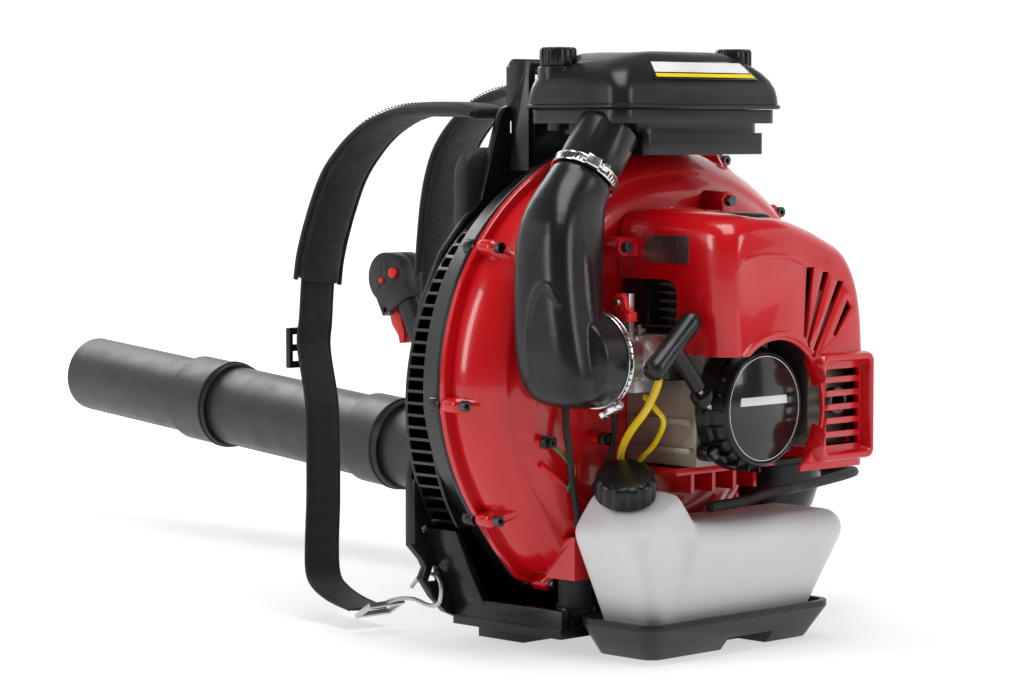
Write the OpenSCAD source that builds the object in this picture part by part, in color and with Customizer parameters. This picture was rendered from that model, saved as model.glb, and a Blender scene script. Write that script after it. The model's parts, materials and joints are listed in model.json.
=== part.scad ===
/* [Fan and engine] */
// Height of the crankshaft and fan axis above the floor
axis_z = 203; // [202:0.5:204]
// Depth of the rear (engine side) half of the fan case
case_depth = 60; // [58:1:60]
// Depth of the front (operator side) half of the fan case
front_depth = 28; // [26:1:28]
// Wall thickness of the moulded fan case
case_wall = 3; // [2.5:0.5:3.5]
// Radius of the fan impeller
impeller_r = 126; // [118:1:128]
// Number of impeller vanes
vane_count = 14; // [10:1:16]
// Radius of the crankshaft journals
shaft_r = 8.5; // [8:0.5:8.5]
// Radius of the starter housing
starter_r = 50; // [48:1:50]
// Number of cooling fins on the cylinder
fin_count = 7; // [5:1:7]

/* [Blower tube] */
// Sideways place of the blower tube
tube_x = 187; // [185:1:189]
// Upward pitch of the blower tube in degrees
tube_pitch = 4.9; // [3:0.1:6]
// Outer radius of the swivel tube
tube_r = 41.5; // [40:0.5:41.5]
// Wall thickness of the tubes
tube_wall = 2; // [1.5:0.5:2.5]
// Radial gap where one tube slips over the next
slip_gap = 0.3; // [0.3:0.1:0.5]

/* [Frame and harness] */
// Half width of the frame's lower wings
wing_x = 176; // [172:1:178]
// Thickness of the frame's back plate
plate_t = 7; // [6:0.5:7]
// Pitch of the fins on the air inlet guard
guard_pitch = 10; // [9:1:14]
// Width of the padded shoulder straps
pad_w = 56; // [50:1:58]
// Width of the harness webbing
web_w = 38; // [30:1:40]

/* [Hidden] */

round_fn = 72;
small_fn = 36;
red = [0.78, 0.05, 0.06];
black = [0.07, 0.07, 0.07];
grey = [0.2, 0.2, 0.2];
metal = [0.75, 0.75, 0.77];
casting = [0.47, 0.43, 0.38];
white = [0.88, 0.88, 0.87];

// ---------- building blocks ----------
// Cylinder along Y from y0 to y1
module ycyl(x, y0, y1, z, r, fn = round_fn) {
    translate([x, y0, z])
        rotate([-90, 0, 0])
            cylinder(h = y1 - y0, r = r, $fn = fn);
}
// Cylinder along X from x0 to x1
module xcyl(x0, x1, y, z, r, fn = round_fn) {
    translate([x0, y, z])
        rotate([0, 90, 0])
            cylinder(h = x1 - x0, r = r, $fn = fn);
}
// Cylinder along Z from z0 to z1
module zcyl(x, y, z0, z1, r, fn = round_fn) {
    translate([x, y, z0])
        cylinder(h = z1 - z0, r = r, $fn = fn);
}
// Box between two corners
module box(x0, y0, z0, x1, y1, z1) {
    translate([x0, y0, z0])
        cube([x1 - x0, y1 - y0, z1 - z0]);
}
// Outline drawn in X and Z, given thickness from y0 to y1
module xz_slab(y0, y1) {
    translate([0, y1, 0])
        rotate([90, 0, 0])
            linear_extrude(y1 - y0)
                children();
}
// Outline drawn in Y and Z, given thickness from x0 to x1
module yz_slab(x0, x1) {
    translate([x0, 0, 0])
        rotate([90, 0, 90])
            linear_extrude(x1 - x0)
                children();
}
// Points of a rectangle with round corners
function rr_points(x0, y0, x1, y1, r, n = 5) = [
    for (q = [[x1 - r, y1 - r, 0], [x0 + r, y1 - r, 90], [x0 + r, y0 + r, 180], [x1 - r, y0 + r, 270]],
         k = [0 : n])
        [q[0] + r * cos(q[2] + 90 * k / n), q[1] + r * sin(q[2] + 90 * k / n)]];
// Flat slab with round corners, in X and Y
module rr_slab(x0, y0, x1, y1, r, z0, z1) {
    translate([0, 0, z0])
        linear_extrude(z1 - z0)
            polygon(rr_points(x0, y0, x1, y1, r));
}
function unit(v) = v / norm(v);
function path_dir(p, i) = unit(p[min(i + 1, len(p) - 1)] - p[max(i - 1, 0)]);
// One solid swept along a route; ring(i) has the same number of points at each step
module swept(rings) {
    n = len(rings[0]);
    m = len(rings);
    polyhedron(
        points = [for (ring = rings, p = ring) p],
        faces = concat(
            [[for (k = [0 : n - 1]) k]],
            [[for (k = [n - 1 : -1 : 0]) (m - 1) * n + k]],
            [for (i = [0 : m - 2], k = [0 : n - 1])
                [i * n + k, (i + 1) * n + k, (i + 1) * n + (k + 1) % n]],
            [for (i = [0 : m - 2], k = [0 : n - 1])
                [i * n + k, (i + 1) * n + (k + 1) % n, i * n + (k + 1) % n]]));
}
// Round hose or cable along a route
function hose_ring(p, i, r, sides) =
    let(d = path_dir(p, i), a = unit(cross(d, [0.31, 0.17, 0.93])), b = cross(d, a))
    [for (k = [0 : sides - 1]) p[i] + r * (a * cos(360 * k / sides) + b * sin(360 * k / sides))];
module hose(p, r, sides = 8) {
    swept([for (i = [0 : len(p) - 1]) hose_ring(p, i, r, sides)]);
}
// Flat band along a route, lying across X
function band_ring(p, i, w, t) =
    let(d = path_dir(p, i), n = unit(cross(d, [1, 0, 0])), a = cross(n, d))
    [p[i] + a * w / 2 + n * t / 2, p[i] - a * w / 2 + n * t / 2,
     p[i] - a * w / 2 - n * t / 2, p[i] + a * w / 2 - n * t / 2];
module band(p, w, t) {
    swept([for (i = [0 : len(p) - 1]) band_ring(p, i, w, t)]);
}
// Smooth route through hand-chosen points
function spline_at(p, i, u) =
    let(a = p[max(i - 1, 0)], b = p[i], c = p[i + 1], d = p[min(i + 2, len(p) - 1)])
    0.5 * ((2 * b) + (c - a) * u + (2 * a - 5 * b + 4 * c - d) * u * u
        + (3 * b - a - 3 * c + d) * u * u * u);
function smooth(p, n = 4) = concat(
    [for (i = [0 : len(p) - 2], k = [0 : n - 1]) spline_at(p, i, k / n)], [p[len(p) - 1]]);
module mirrored() {
    children();
    mirror([1, 0, 0])
        children();
}

// ---------- fan case ----------
// Radius of the spiral case at an angle; it grows clockwise, seen from the engine side
case_spiral = [[0, 252], [45, 236], [66, 224], [90, 214], [120, 208], [150, 206], [180, 199], [205, 185]];
outlet_x0 = 136;
outlet_x1 = 252;
outlet_z = 142.4;
function spiral_point(a) = [lookup(a, case_spiral) * cos(a), axis_z + lookup(a, case_spiral) * sin(a)];
case_points = concat([for (a = [0 : 5 : 205]) spiral_point(a)],
    [[-163, 119], [-117, 65], [-92, 57], [-68, 52], [58, 52], [118, 104],
     [134, 128], [outlet_x0, outlet_z], [outlet_x1, outlet_z]]);
module case_outline(grow = 0) {
    if (grow == 0)
        polygon(case_points);
    else
        offset(delta = grow)
            polygon(case_points);
}
lug_r = 6.5;
lug_angles = [0, 21, 40, 61, 141, 178.5, 209];
function lug_at(a) = [(lookup(a, case_spiral) + 3) * cos(a), axis_z + (lookup(a, case_spiral) + 3) * sin(a)];
low_lugs = [[-100, 54], [66, 48], [128, 98]];
lugs = concat([for (a = lug_angles) lug_at(a)], low_lugs);
screw_hole_r = 2.7;
flange_t = 5;
foot_x = 96;
foot_y = -45;
foot_z = 61;
// Depth from, depth to and inward step of each stage of the rounded rear wall
case_steps = [[-20, 0, -0.01], [-36, -20, -6], [-48, -36, -14], [-case_depth, -48, -30]];
lug_y = -22;
module under_outlet() {
    box(outlet_x0 + 0.5, -case_depth - 1, 90, outlet_x1 + 20, front_depth + 1, outlet_z);
}
module outlet_gap() {
    box(outlet_x0 + 5, -case_depth + 5, outlet_z - 6, outlet_x1 - 5, front_depth - 5, outlet_z + 8);
}
module fan_case_rear() {
    color(red)
    difference() {
        union() {
            for (st = case_steps)
                xz_slab(st[0], st[1] + 0.1) case_outline(st[2]);
            xz_slab(-flange_t, 0) case_outline(8);
            for (p = lugs)
                ycyl(p[0], lug_y, 0, p[1], lug_r, small_fn);
            for (s = [-1, 1])
                box(s * foot_x - 17, -62, foot_z, s * foot_x + 17, -28, foot_z + 36);
            // webbed bracket that carries the crankcase from below
            box(-56, -122, 130, 66, -case_depth + 1, 154);
            // bosses for the cable clips
            ycyl(-149, -64, -40, 178, 6, small_fn);
            ycyl(-92, -74, -59, 178, 6, small_fn);
            // bosses that carry the engine cover
            ycyl(-77, -79.7, -40, 335, 8, small_fn);
            ycyl(49, -80, -40, 371, 8, small_fn);
        }
        for (st = case_steps)
            xz_slab(st[0] + case_wall, st[1] + case_wall + 0.1) case_outline(st[2] - case_wall);
        outlet_gap();
        under_outlet();
        // way down through the lower wall into the elbow
        box(148, -33, 140, 226, -3, 168);
        ycyl(0, -case_depth - 1, 0, axis_z, 24);
        box(-62, -130, 124, 72, -case_depth - 4, 148);
        for (p = lugs)
            ycyl(p[0], -50, 1, p[1], screw_hole_r, small_fn);
        for (s = [-1, 1])
            zcyl(s * foot_x, foot_y, foot_z - 1, foot_z + 12, 4, small_fn);
        ycyl(-77, -90, -60, 335, screw_hole_r, small_fn);
        ycyl(49, -90, -60, 371, screw_hole_r, small_fn);
    }
}
inlet_r = 92;
iso_top = [76, 300];
module fan_case_front() {
    color(black)
    difference() {
        union() {
            xz_slab(0.3, front_depth) case_outline();
            xz_slab(0.3, flange_t) case_outline(8);
            for (p = lugs)
                ycyl(p[0], 0.3, 12, p[1], lug_r, small_fn);
        }
        xz_slab(-1, front_depth - case_wall) case_outline(-case_wall);
        outlet_gap();
        under_outlet();
        ycyl(0, 10, front_depth + 1, axis_z, inlet_r);
        for (p = lugs)
            ycyl(p[0], -1, 14, p[1], screw_hole_r, small_fn);
        for (s = [-1, 1])
            ycyl(s * iso_top[0], 20, front_depth + 1, iso_top[1], 4, small_fn);
    }
}
hub_r = 22;
module impeller() {
    color(grey)
    translate([0, 0, axis_z])
    difference() {
        union() {
            ycyl(0, -42, -38, 0, impeller_r);
            ycyl(0, -42, -14, 0, hub_r);
            for (k = [0 : vane_count - 1])
                rotate([0, k * 360 / vane_count, 0])
                    translate([52, -38.5, 14])
                        rotate([0, 22, 0])
                            cube([impeller_r - 62, 30, 2.5]);
        }
        ycyl(0, -47, 0, 0, shaft_r + 0.05);
    }
}
crank_throw = 17;
module crankshaft() {
    color(metal)
    translate([0, 0, axis_z]) {
        ycyl(0, -144, -106.9, 0, shaft_r);
        ycyl(0, -99.1, -4, 0, shaft_r);
        ycyl(0, -114, -107, 0, 33);
        ycyl(0, -99, -92, 0, 33);
        ycyl(0, -107.5, -98.5, crank_throw, 7, small_fn);
        // hexagonal nut and washer that hold the impeller
        ycyl(0, -13.9, -12.4, 0, 15, small_fn);
        ycyl(0, -12.4, -6, 0, 12, 6);
    }
}
bearing_y = [[-130, -118], [-88, -76]];
module bearings() {
    color(metal)
    for (b = bearing_y)
        difference() {
            ycyl(0, b[0], b[1], axis_z, 19.95);
            ycyl(0, b[0] - 1, b[1] + 1, axis_z, shaft_r + 0.05);
            for (y = b)
                difference() {
                    ycyl(0, y - 1.5, y + 1.5, axis_z, 17);
                    ycyl(0, y - 2, y + 2, axis_z, 11.5);
                }
        }
}

// ---------- engine ----------
block_y = -101;
deck_z = 258;
module crankcase() {
    color(casting)
    difference() {
        union() {
            box(-50, -138, 156, 50, -60.5, 226);
            box(-40, -136, 220, 40, -64, deck_z);
            ycyl(0, -138.5, -60.5, axis_z, 49);
            for (z = [166, 190])
                box(-54, -134, z, 54, -66, z + 5);
            // intake flange on the left
            box(-44, -116, 230, -36, -84, 256);
        }
        ycyl(0, -116, -90, axis_z, 37);
        for (b = bearing_y)
            ycyl(0, b[0] - 0.5, b[1] + 0.5, axis_z, 20);
        ycyl(0, -139, -60, axis_z, shaft_r + 2);
        ycyl(0, -91, -87, axis_z, 16);
        ycyl(0, -119, -115, axis_z, 16);
        zcyl(0, block_y, axis_z, deck_z + 1, 26);
        xcyl(-50, -20, -100, 243, 9, small_fn);
    }
}
head_z = 316;
fin_x = 40;
fin_y = 36;
module cylinder_block() {
    color(black)
    difference() {
        union() {
            zcyl(0, block_y, deck_z + 0.3, head_z, 32);
            box(-38, block_y - 34, deck_z + 0.3, 38, block_y + 34, deck_z + 6);
            for (k = [0 : fin_count - 1])
                rr_slab(-fin_x, block_y - fin_y, fin_x, block_y + fin_y, 10,
                    deck_z + 10 + 7 * k, deck_z + 12 + 7 * k);
            // exhaust port on the right
            box(30, block_y - 14, 270, 46, block_y + 14, 296);
        }
        zcyl(0, block_y, deck_z - 1, 300, 25);
        xcyl(20, 50, block_y, 283, 9, small_fn);
        zcyl(0, block_y, 299, head_z + 1, 5.5, small_fn);
    }
}
wrist_z = 275;
module piston() {
    color(metal)
    difference() {
        union() {
            zcyl(0, block_y, 262, 292, 24.6);
        }
        zcyl(0, block_y, 261, 286, 21);
        ycyl(0, block_y - 30, block_y + 30, wrist_z, 5.1, small_fn);
    }
}
module connecting_rod() {
    color(metal) {
        difference() {
            union() {
                ycyl(0, -106, -100, wrist_z, 8.5, small_fn);
                box(-4.5, -106, 231, 4.5, -100, wrist_z);
                box(-11, -106, 231, 11, -100, 236);
            }
            ycyl(0, -107, -99, wrist_z, 5.1, small_fn);
            // saddle that faces the crank pin
            ycyl(0, -107, -99, axis_z + crank_throw, 12.5, small_fn);
        }
        // hollow wrist pin
        ycyl(0, -122, -80, wrist_z, 5, small_fn);
    }
}
module spark_plug() {
    color(metal) {
        zcyl(0, block_y, 303, head_z + 0.3, 5, small_fn);
        zcyl(0, block_y, head_z + 0.2, head_z + 9, 10, 6);
        zcyl(0, block_y, head_z + 9, head_z + 20, 4.5, small_fn);
    }
}
module plug_lead() {
    color(black) {
        difference() {
            zcyl(0, block_y, head_z + 10, 344, 8.5, small_fn);
            zcyl(0, block_y, head_z + 9, head_z + 21, 4.6, small_fn);
        }
        hose(smooth([[-5, block_y, 339], [-20, -98, 341], [-38, -90, 336], [-50, -84, 324],
            [-52, -80, 315.5]]), 3.5);
    }
}
module muffler() {
    color(grey)
    difference() {
        union() {
            xz_slab(-168, -76) polygon(rr_points(54, 166, 106, 298, 12));
            box(46.3, block_y - 13, 271, 60, block_y + 13, 295);
            ycyl(84, -176, -167, 205, 11, small_fn);
        }
        xz_slab(-165, -79) polygon(rr_points(57, 169, 103, 295, 9));
        ycyl(84, -177, -164, 205, 8, small_fn);
        xcyl(40, 59, block_y, 283, 9, small_fn);
    }
}
module ignition_coil() {
    color(black) {
        box(-59, -92, 272, -45, -66, 310);
        zcyl(-52, -80, 310, 311.4, 5, small_fn);
    }
}
carb_y = -100;
carb_z = 246;
module insulator() {
    color(casting)
    difference() {
        box(-62, -120, 226, -44.3, -80, 264);
        xcyl(-63, -43, carb_y, carb_z, 9, small_fn);
    }
}
valve_x = -78;
module carburettor() {
    color(casting)
    difference() {
        union() {
            box(-98, -119, 228, -62.3, -81, 264);
            box(-96, -112, 218, -68, -88, 228);
            // round air horn that the intake duct clamps on
            xcyl(-138, -97.9, carb_y, carb_z, 24);
            xcyl(-138, -122, carb_y, carb_z, 34.5);
            // post and pin that carry the choke lever
            box(-109, -118, 262, -103, -106, 299);
            xcyl(-118, -108, choke_p[1], choke_p[2], 2.5, small_fn);
            // stub for the fuel line
            ycyl(-90, -126, -118, 238, 3, small_fn);
        }
        xcyl(-140, -61, carb_y, carb_z, 11, small_fn);
        xcyl(-140, -104, carb_y, carb_z, 20);
        zcyl(valve_x, carb_y, 220, 270, 2.55, small_fn);
    }
}
module throttle_valve() {
    color(metal) {
        zcyl(valve_x, carb_y, 230, 272, 2.5, small_fn);
        xcyl(valve_x - 0.6, valve_x + 0.6, carb_y, carb_z, 10.7, small_fn);
        // lever that the throttle cable turns
        box(valve_x - 4, carb_y - 4, 266, valve_x + 4, carb_y + 20, 269);
    }
}
choke_p = [-112, -112, 292];
module choke_lever() {
    color(red)
    difference() {
        union() {
            yz_slab(choke_p[0] - 3, choke_p[0] + 2)
                polygon([[-106, 288], [-106, 296], [-109, 299], [-115, 299], [-118, 296],
                    [-120, 288], [-128, 284], [-128, 277], [-114, 277], [-108, 282]]);
            box(choke_p[0] - 8, -128, 277, choke_p[0] - 2.5, -124, 284);
        }
        xcyl(choke_p[0] - 5, choke_p[0] + 5, choke_p[1], choke_p[2], 2.6, small_fn);
    }
}

// ---------- intake duct and air cleaner ----------
neck_c = [-106, -67, 397];
neck_tilt = 37.7; // lean of the neck from upright, to the right
module neck(z0, z1, r) {
    translate(neck_c)
        rotate([0, neck_tilt, 0])
            translate([0, 0, z0])
                cylinder(h = z1 - z0, r = r, $fn = round_fn);
}
module duct_body(g) {
    hull() {
        translate([-126, -78.5, 366])
            sphere(r = 18 - g, $fn = 24);
        translate([-158, -80, 345])
            sphere(r = 19.5 - g, $fn = 24);
        translate([-150, -90, 345])
            sphere(r = 18 - g, $fn = 24);
        translate([-158, -90, 310])
            sphere(r = 22 - g, $fn = 24);
    }
    hull() {
        translate([-158, -90, 310])
            sphere(r = 22 - g, $fn = 24);
        translate([-165, -89, 250])
            sphere(r = 22 - g, $fn = 24);
        translate([-158, -118, 250])
            sphere(r = 20 - g, $fn = 24);
        translate([-162, -100, 226])
            sphere(r = 18 - g, $fn = 24);
    }
}
module intake_duct() {
    color(grey)
    difference() {
        union() {
            duct_body(0);
            neck(-24, 2, 27);
            xcyl(-160, -124, carb_y, carb_z, 38.5);
        }
        duct_body(3);
        neck(-26, 3, 23.8);
        xcyl(-160, -123, carb_y, carb_z, 34.8);
    }
}
module hose_clamps() {
    color(metal) {
        difference() {
            union() {
                neck(-8, 1, 28.6);
                translate(neck_c)
                    rotate([0, neck_tilt, 0])
                        translate([-8, -38, -9])
                            cube([18, 10.5, 11]);
            }
            neck(-12, 4, 27.3);
        }
        difference() {
            union() {
                xcyl(-131.5, -125, carb_y, carb_z, 39.8);
                box(-132.5, -128, 205.5, -124.5, -112, 214);
            }
            xcyl(-136, -120, carb_y, carb_z, 38.7);
        }
        // band that holds the bellows on the outlet elbow
        difference() {
            union() {
                ycyl(tube_x, 80, 90, bellows_c[2], 51.2);
                box(tube_x - 9, 79, bellows_c[2] - 60, tube_x + 9, 91, bellows_c[2] - 50);
            }
            ycyl(tube_x, 78, 92, bellows_c[2], 49.8);
        }
    }
}
lid_x = 101;
lid_y0 = -101;
lid_y1 = 14;
lid_z = 448;
knob_l = [-80, -9];
knob_r = [79, -62];
module air_base() {
    color(grey)
    difference() {
        union() {
            rr_slab(-lid_x + 3, lid_y0 + 3, lid_x - 3, lid_y1 - 3, 14, lid_z - 12, lid_z - 0.4);
            rr_slab(-66, -88, 88, 8, 16, 427, lid_z - 11);
            rr_slab(-62, -92, 86, -64, 6, 410, 428);
            neck(3, 42, 26);
            for (p = [knob_l, knob_r])
                zcyl(p[0], p[1], 430, lid_z - 0.4, 9, small_fn);
        }
        rr_slab(-62, -84, 84, 4, 12, 430, lid_z + 1);
        neck(-2, 52, 23);
        for (p = [knob_l, knob_r])
            zcyl(p[0], p[1], 432, lid_z + 1, 3.4, small_fn);
    }
}
module air_element() {
    color("tan")
        rr_slab(-42, -82, 68, 2, 10, 431, 462);
}
module air_lid() {
    color(grey)
    difference() {
        union() {
            rr_slab(-lid_x - 2, lid_y0 - 2, lid_x + 2, lid_y1 + 2, 16, lid_z, lid_z + 4);
            hull() {
                rr_slab(-lid_x, lid_y0, lid_x, lid_y1, 15, lid_z + 3, lid_z + 14);
                rr_slab(-62, -78, 72, 2, 20, 492, 496.5);
                rr_slab(-84, -88, 88, 6, 18, 480, 484);
            }
            for (p = [knob_l, knob_r])
                zcyl(p[0], p[1], lid_z + 3, 483.5, 16.5);
        }
        hull() {
            rr_slab(-lid_x + 3, lid_y0 + 3, lid_x - 3, lid_y1 - 3, 13, lid_z - 1, lid_z + 13);
            rr_slab(-62, -76, 66, -2, 18, 488, 492);
        }
        for (p = [knob_l, knob_r]) {
            zcyl(p[0], p[1], lid_z, 500, 3.4, small_fn);
            difference() {
                zcyl(p[0], p[1], 483.4, 500, 16.6);
                zcyl(p[0], p[1], 483.3, 483.5, 3.3, small_fn);
            }
        }
    }
}
module knob(p) {
    color(black)
    difference() {
        union() {
            zcyl(p[0], p[1], 484, 499, 15.5);
            zcyl(p[0], p[1], 436, 485, 3, small_fn);
        }
        for (a = [0 : 30 : 330])
            translate([p[0] + 16.4 * cos(a), p[1] + 16.4 * sin(a), 487])
                cylinder(h = 20, r = 1.8, $fn = 16);
    }
}
module lid_knob_left() {
    knob(knob_l);
}
module lid_knob_right() {
    knob(knob_r);
}

// ---------- engine cover ----------
cover_y = -182;
cover_front = -62;
cover_points = [[-62, 150], [-62, 346], [-58, 357], [-48, 364], [-32, 367], [4, 366], [36, 360],
    [64, 350], [88, 335], [104, 315], [113, 292], [118, 262], [118, 150]];
vent_angle = 24;
module cover_vents() {
    for (k = [0 : 3])
        translate([48 + 13 * k, cover_y, 256 + 9 * k])
            rotate([0, vent_angle + 4 * k, 0])
                box(-2.8, -6, 0, 2.8, 10, 62 - 9 * k);
}
module engine_cover() {
    color(red)
    difference() {
        union() {
            xz_slab(cover_y, cover_front) polygon(cover_points);
            // frame of the exhaust outlet
            xz_slab(cover_y - 8, cover_y + 1) polygon(rr_points(44, 154, 117, 248, 7));
            ycyl(-77, -82.9, -80, 335, 8, small_fn);
            box(-77, -82.9, 327, -60, -80, 343);
            ycyl(49, -84, -80.3, 371, 8, small_fn);
            box(42, -84, 356, 56, -80.3, 371);
        }
        xz_slab(cover_y + case_wall, cover_front + 1)
            offset(delta = -case_wall)
                polygon(cover_points);
        box(-60, cover_y + case_wall, 140, 115, cover_front + 1, 160);
        // opening in the left wall, over the carburettor
        yz_slab(-65, -58.5) polygon(rr_points(-128, 140, -50, 309, 14));
        // room for the starter and the lower left of the engine
        ycyl(0, cover_y - 1, cover_y + 10, axis_z, 57);
        box(-63, cover_y - 1, 140, 0, cover_y + 10, 249);
        box(-63, cover_y - 1, 140, -50, cover_front - 60, 249);
        box(-1, cover_y - 1, 140, 30, cover_y + 10, 170);
        // exhaust outlet
        xz_slab(cover_y - 9, cover_y + 1) polygon(rr_points(54, 163, 110, 240, 4));
        for (k = [0 : 5])
            box(58, cover_y, 168 + 12 * k, 100, cover_y + 10, 174 + 12 * k);
        cover_vents();
        // scoop in the top
        box(-16, -160, 345, 26, -92, 370);
        ycyl(-77, -90, -60, 335, screw_hole_r, small_fn);
        ycyl(49, -90, -60, 371, screw_hole_r, small_fn);
        ycyl(-5, cover_y - 5, cover_y + 10, 262, screw_hole_r, small_fn);
        // clearance for the fan case behind the front edge
        ycyl(0, cover_front - 0.5, cover_front + 2, axis_z, 60);
    }
}
module cover_insert() {
    color(black)
    difference() {
        box(-15.5, -159.5, 346, 25.5, -92.5, 363);
        box(-12, -157, 350, 22, -95, 370);
        for (k = [0 : 5])
            box(-8, -150 + 9 * k, 345, 18, -146 + 9 * k, 352);
        zcyl(0, block_y, 340, 352, 10, small_fn);
    }
}

// ---------- recoil starter ----------
rope_dir = [-0.655, 0, 0.7556];
rope_y = -153;
reel_r = 36;
rope_p0 = [0, rope_y, axis_z] + reel_r * [-rope_dir[2], 0, rope_dir[0]];
rope_lean = -atan2(-rope_dir[0], rope_dir[2]);
// Shapes along the rope: +Z of the child is the way the rope is pulled
module along_rope(t) {
    translate(rope_p0 + t * rope_dir)
        rotate([0, rope_lean, 0])
            children();
}
starter_bolts = [[-44, 168], [44, 168], [-30, 250]];
module starter_housing() {
    color(black)
    difference() {
        union() {
            ycyl(0, -168, -139, axis_z, starter_r);
            for (p = starter_bolts)
                ycyl(p[0], -150, -139, p[1], 7, small_fn);
            along_rope(22)
                cylinder(h = 30, r = 8, $fn = small_fn);
            along_rope(44)
                cylinder(h = 8, r = 10, $fn = small_fn);
        }
        ycyl(0, -164, -138, axis_z, starter_r - 5);
        along_rope(10)
            cylinder(h = 50, r = 3, $fn = small_fn);
        for (p = starter_bolts)
            ycyl(p[0], -151, -138, p[1], screw_hole_r, small_fn);
    }
    // post that the reel turns on
    color(black)
        ycyl(0, -164.2, -147.5, axis_z, 6, small_fn);
}
module starter_reel() {
    color(white)
    difference() {
        ycyl(0, -160, -147, axis_z, 41);
        difference() {
            ycyl(0, -157, -150, axis_z, 42);
            ycyl(0, -158, -149, axis_z, reel_r - 2);
        }
        ycyl(0, -161, -146, axis_z, 6.05, small_fn);
    }
}
module starter_handle() {
    color(black)
    difference() {
        union() {
            along_rope(104)
                translate([-34, 0, 0])
                    rotate([0, 90, 0])
                        cylinder(h = 68, r = 10, $fn = small_fn);
            along_rope(56)
                cylinder(h = 42, r = 7, $fn = small_fn);
        }
        along_rope(55)
            cylinder(h = 40, r = 2.4, $fn = small_fn);
    }
}
module starter_rope() {
    color(white)
        along_rope(0)
            cylinder(h = 92, r = 1.9, $fn = 16);
}

// ---------- fuel ----------
module tank_form(g) {
    hull() {
        rr_slab(-95 + g, -135 + g, 20, -72 - g, 16, 13 + g, 15 + g);
        rr_slab(-131 + g, -151 + g, -52 - g, -67 - g, 20, 94, 112);
        rr_slab(-117 + g, -140 + g, -60 - g, -74 - g, 18, 135 - g, 137 - g);
    }
    hull() {
        rr_slab(-80, -135 + g, 98 - g, -72 - g, 16, 13 + g, 15 + g);
        rr_slab(-80, -154 + g, 128 - g, -67 - g, 20, 86, 98);
        rr_slab(-80, -145 + g, 121 - g, -74 - g, 18, 108 - g, 110 - g);
    }
}
cap_c = [-101, -107, 142];
cap_yaw = 225;
cap_lean = 29;
// Shapes on the filler neck's own axis, +Z out of the tank
module on_cap() {
    translate(cap_c)
        rotate([0, 0, cap_yaw])
            rotate([0, cap_lean, 0])
                children();
}
// The tank with its corner cut square to the filler neck
module tank_body(g) {
    difference() {
        tank_form(g);
        on_cap()
            translate([-45, -45, -9 - g])
                cube([90, 90, 60]);
    }
}
module fuel_tank() {
    color(white)
    difference() {
        union() {
            tank_body(0);
            on_cap()
                translate([0, 0, -22])
                    cylinder(h = 26, r = 19.5, $fn = round_fn);
        }
        tank_body(2.5);
        on_cap()
            translate([0, 0, -24])
                cylinder(h = 30, r = 17.5, $fn = round_fn);
    }
}
module fuel_cap() {
    color(black)
    on_cap()
        difference() {
            union() {
                translate([0, 0, -8])
                    cylinder(h = 20, r = 25.5, $fn = round_fn);
            }
            translate([0, 0, -9])
                cylinder(h = 14.5, r = 20, $fn = round_fn);
            for (a = [0 : 30 : 330])
                translate([26.4 * cos(a), 26.4 * sin(a), -9])
                    cylinder(h = 17, r = 2.2, $fn = 16);
        }
}
module fuel_lines() {
    color("gold")
        hose(smooth([[-90, -128, 237], [-90.5, -134, 229], [-94, -124, 206], [-92, -104, 186],
            [-86, -88, 168], [-82, -84, 152], [-80, -84, 137.6]]), 3.3);
    color(black)
        hose(smooth([[-82, -110, 214.5], [-80.5, -119, 206], [-74, -124, 194], [-68, -108, 174],
            [-70, -92, 158], [-70, -88, 137.6]]), 2.4);
}
module wiring() {
    color(black) {
        hose(smooth([[-130, -67, 208], [-131, -68.5, 198], [-132, -70, 186], [-130, -72, 168],
            [-122, -66.5, 146], [-114, -63.6, 122], [-112, -63.5, 106]]), 3);
        hose(smooth([[-86, -80, 214], [-86, -80.5, 196], [-88, -81, 180], [-92, -81, 164],
            [-97, -76, 150], [-100, -69, 136]]), 2.4);
    }
}
module throttle_conduit() {
    color(black)
        hose(smooth([[-20, -126, 120], [30, -118, 120], [70, -108, 122], [120, -102, 124],
            [175, -96, 127], [220, -82, 128], [244, -50, 124], [250, 0, 116], [248, 50, 106],
            [243, 76, 98]], 3), 4.5);
}

// ---------- frame ----------
rim_z = 33;
module guard_form(g) {
    hull() {
        rr_slab(-118 + g, -151 + g, 112 - g, -64 - g, 18, rim_z - 5, rim_z);
        rr_slab(-92 + g, -128 + g, 106 - g, -64 - g, 12, g, g + 2);
    }
}
module tank_guard() {
    color(grey)
    difference() {
        guard_form(0);
        hull() {
            rr_slab(-113, -146, 107, -69, 15, rim_z - 4, rim_z + 1);
            rr_slab(-97, -137, 103, -69, 12, 12, 13);
        }
        // notch between the feet
        box(-8, -160, -1, 48, -98, 11);
        for (x = [-70, 80])
            zcyl(x, -100, -1, 14, screw_hole_r, small_fn);
    }
}
module frame_base() {
    color(black)
    difference() {
        union() {
            box(-118, -61, 14, 118, 67, 22);
            mirrored() {
                box(-128, -61, 14, -120, 67, 37);
                box(-129, -61, 14, -112, 67, 22);
                zcyl(-foot_x, foot_y, 21, 37, 17);
                box(-100, 12, 0, -62, 66, 15);
            }
            // curved scoop under the left of the fan case
            xz_slab(30, 67)
                polygon([[-157, 98], [-141, 70], [-126, 44], [-112, 30], [-112, 20], [-122, 24],
                    [-132, 40], [-147, 67], [-161, 98]]);
            box(-118, -61, 21, 118, -55, 30);
            // foot under the middle of the shelf
            box(-24, -14, 0, 24, 14, 15);
            for (x = [-40, 40])
                box(x - 3, -56, 21, x + 3, 66, 34);
        }
        for (s = [-1, 1])
            zcyl(s * foot_x, foot_y, 10, 38, 4, small_fn);
    }
}
plate_y = 68;
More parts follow.
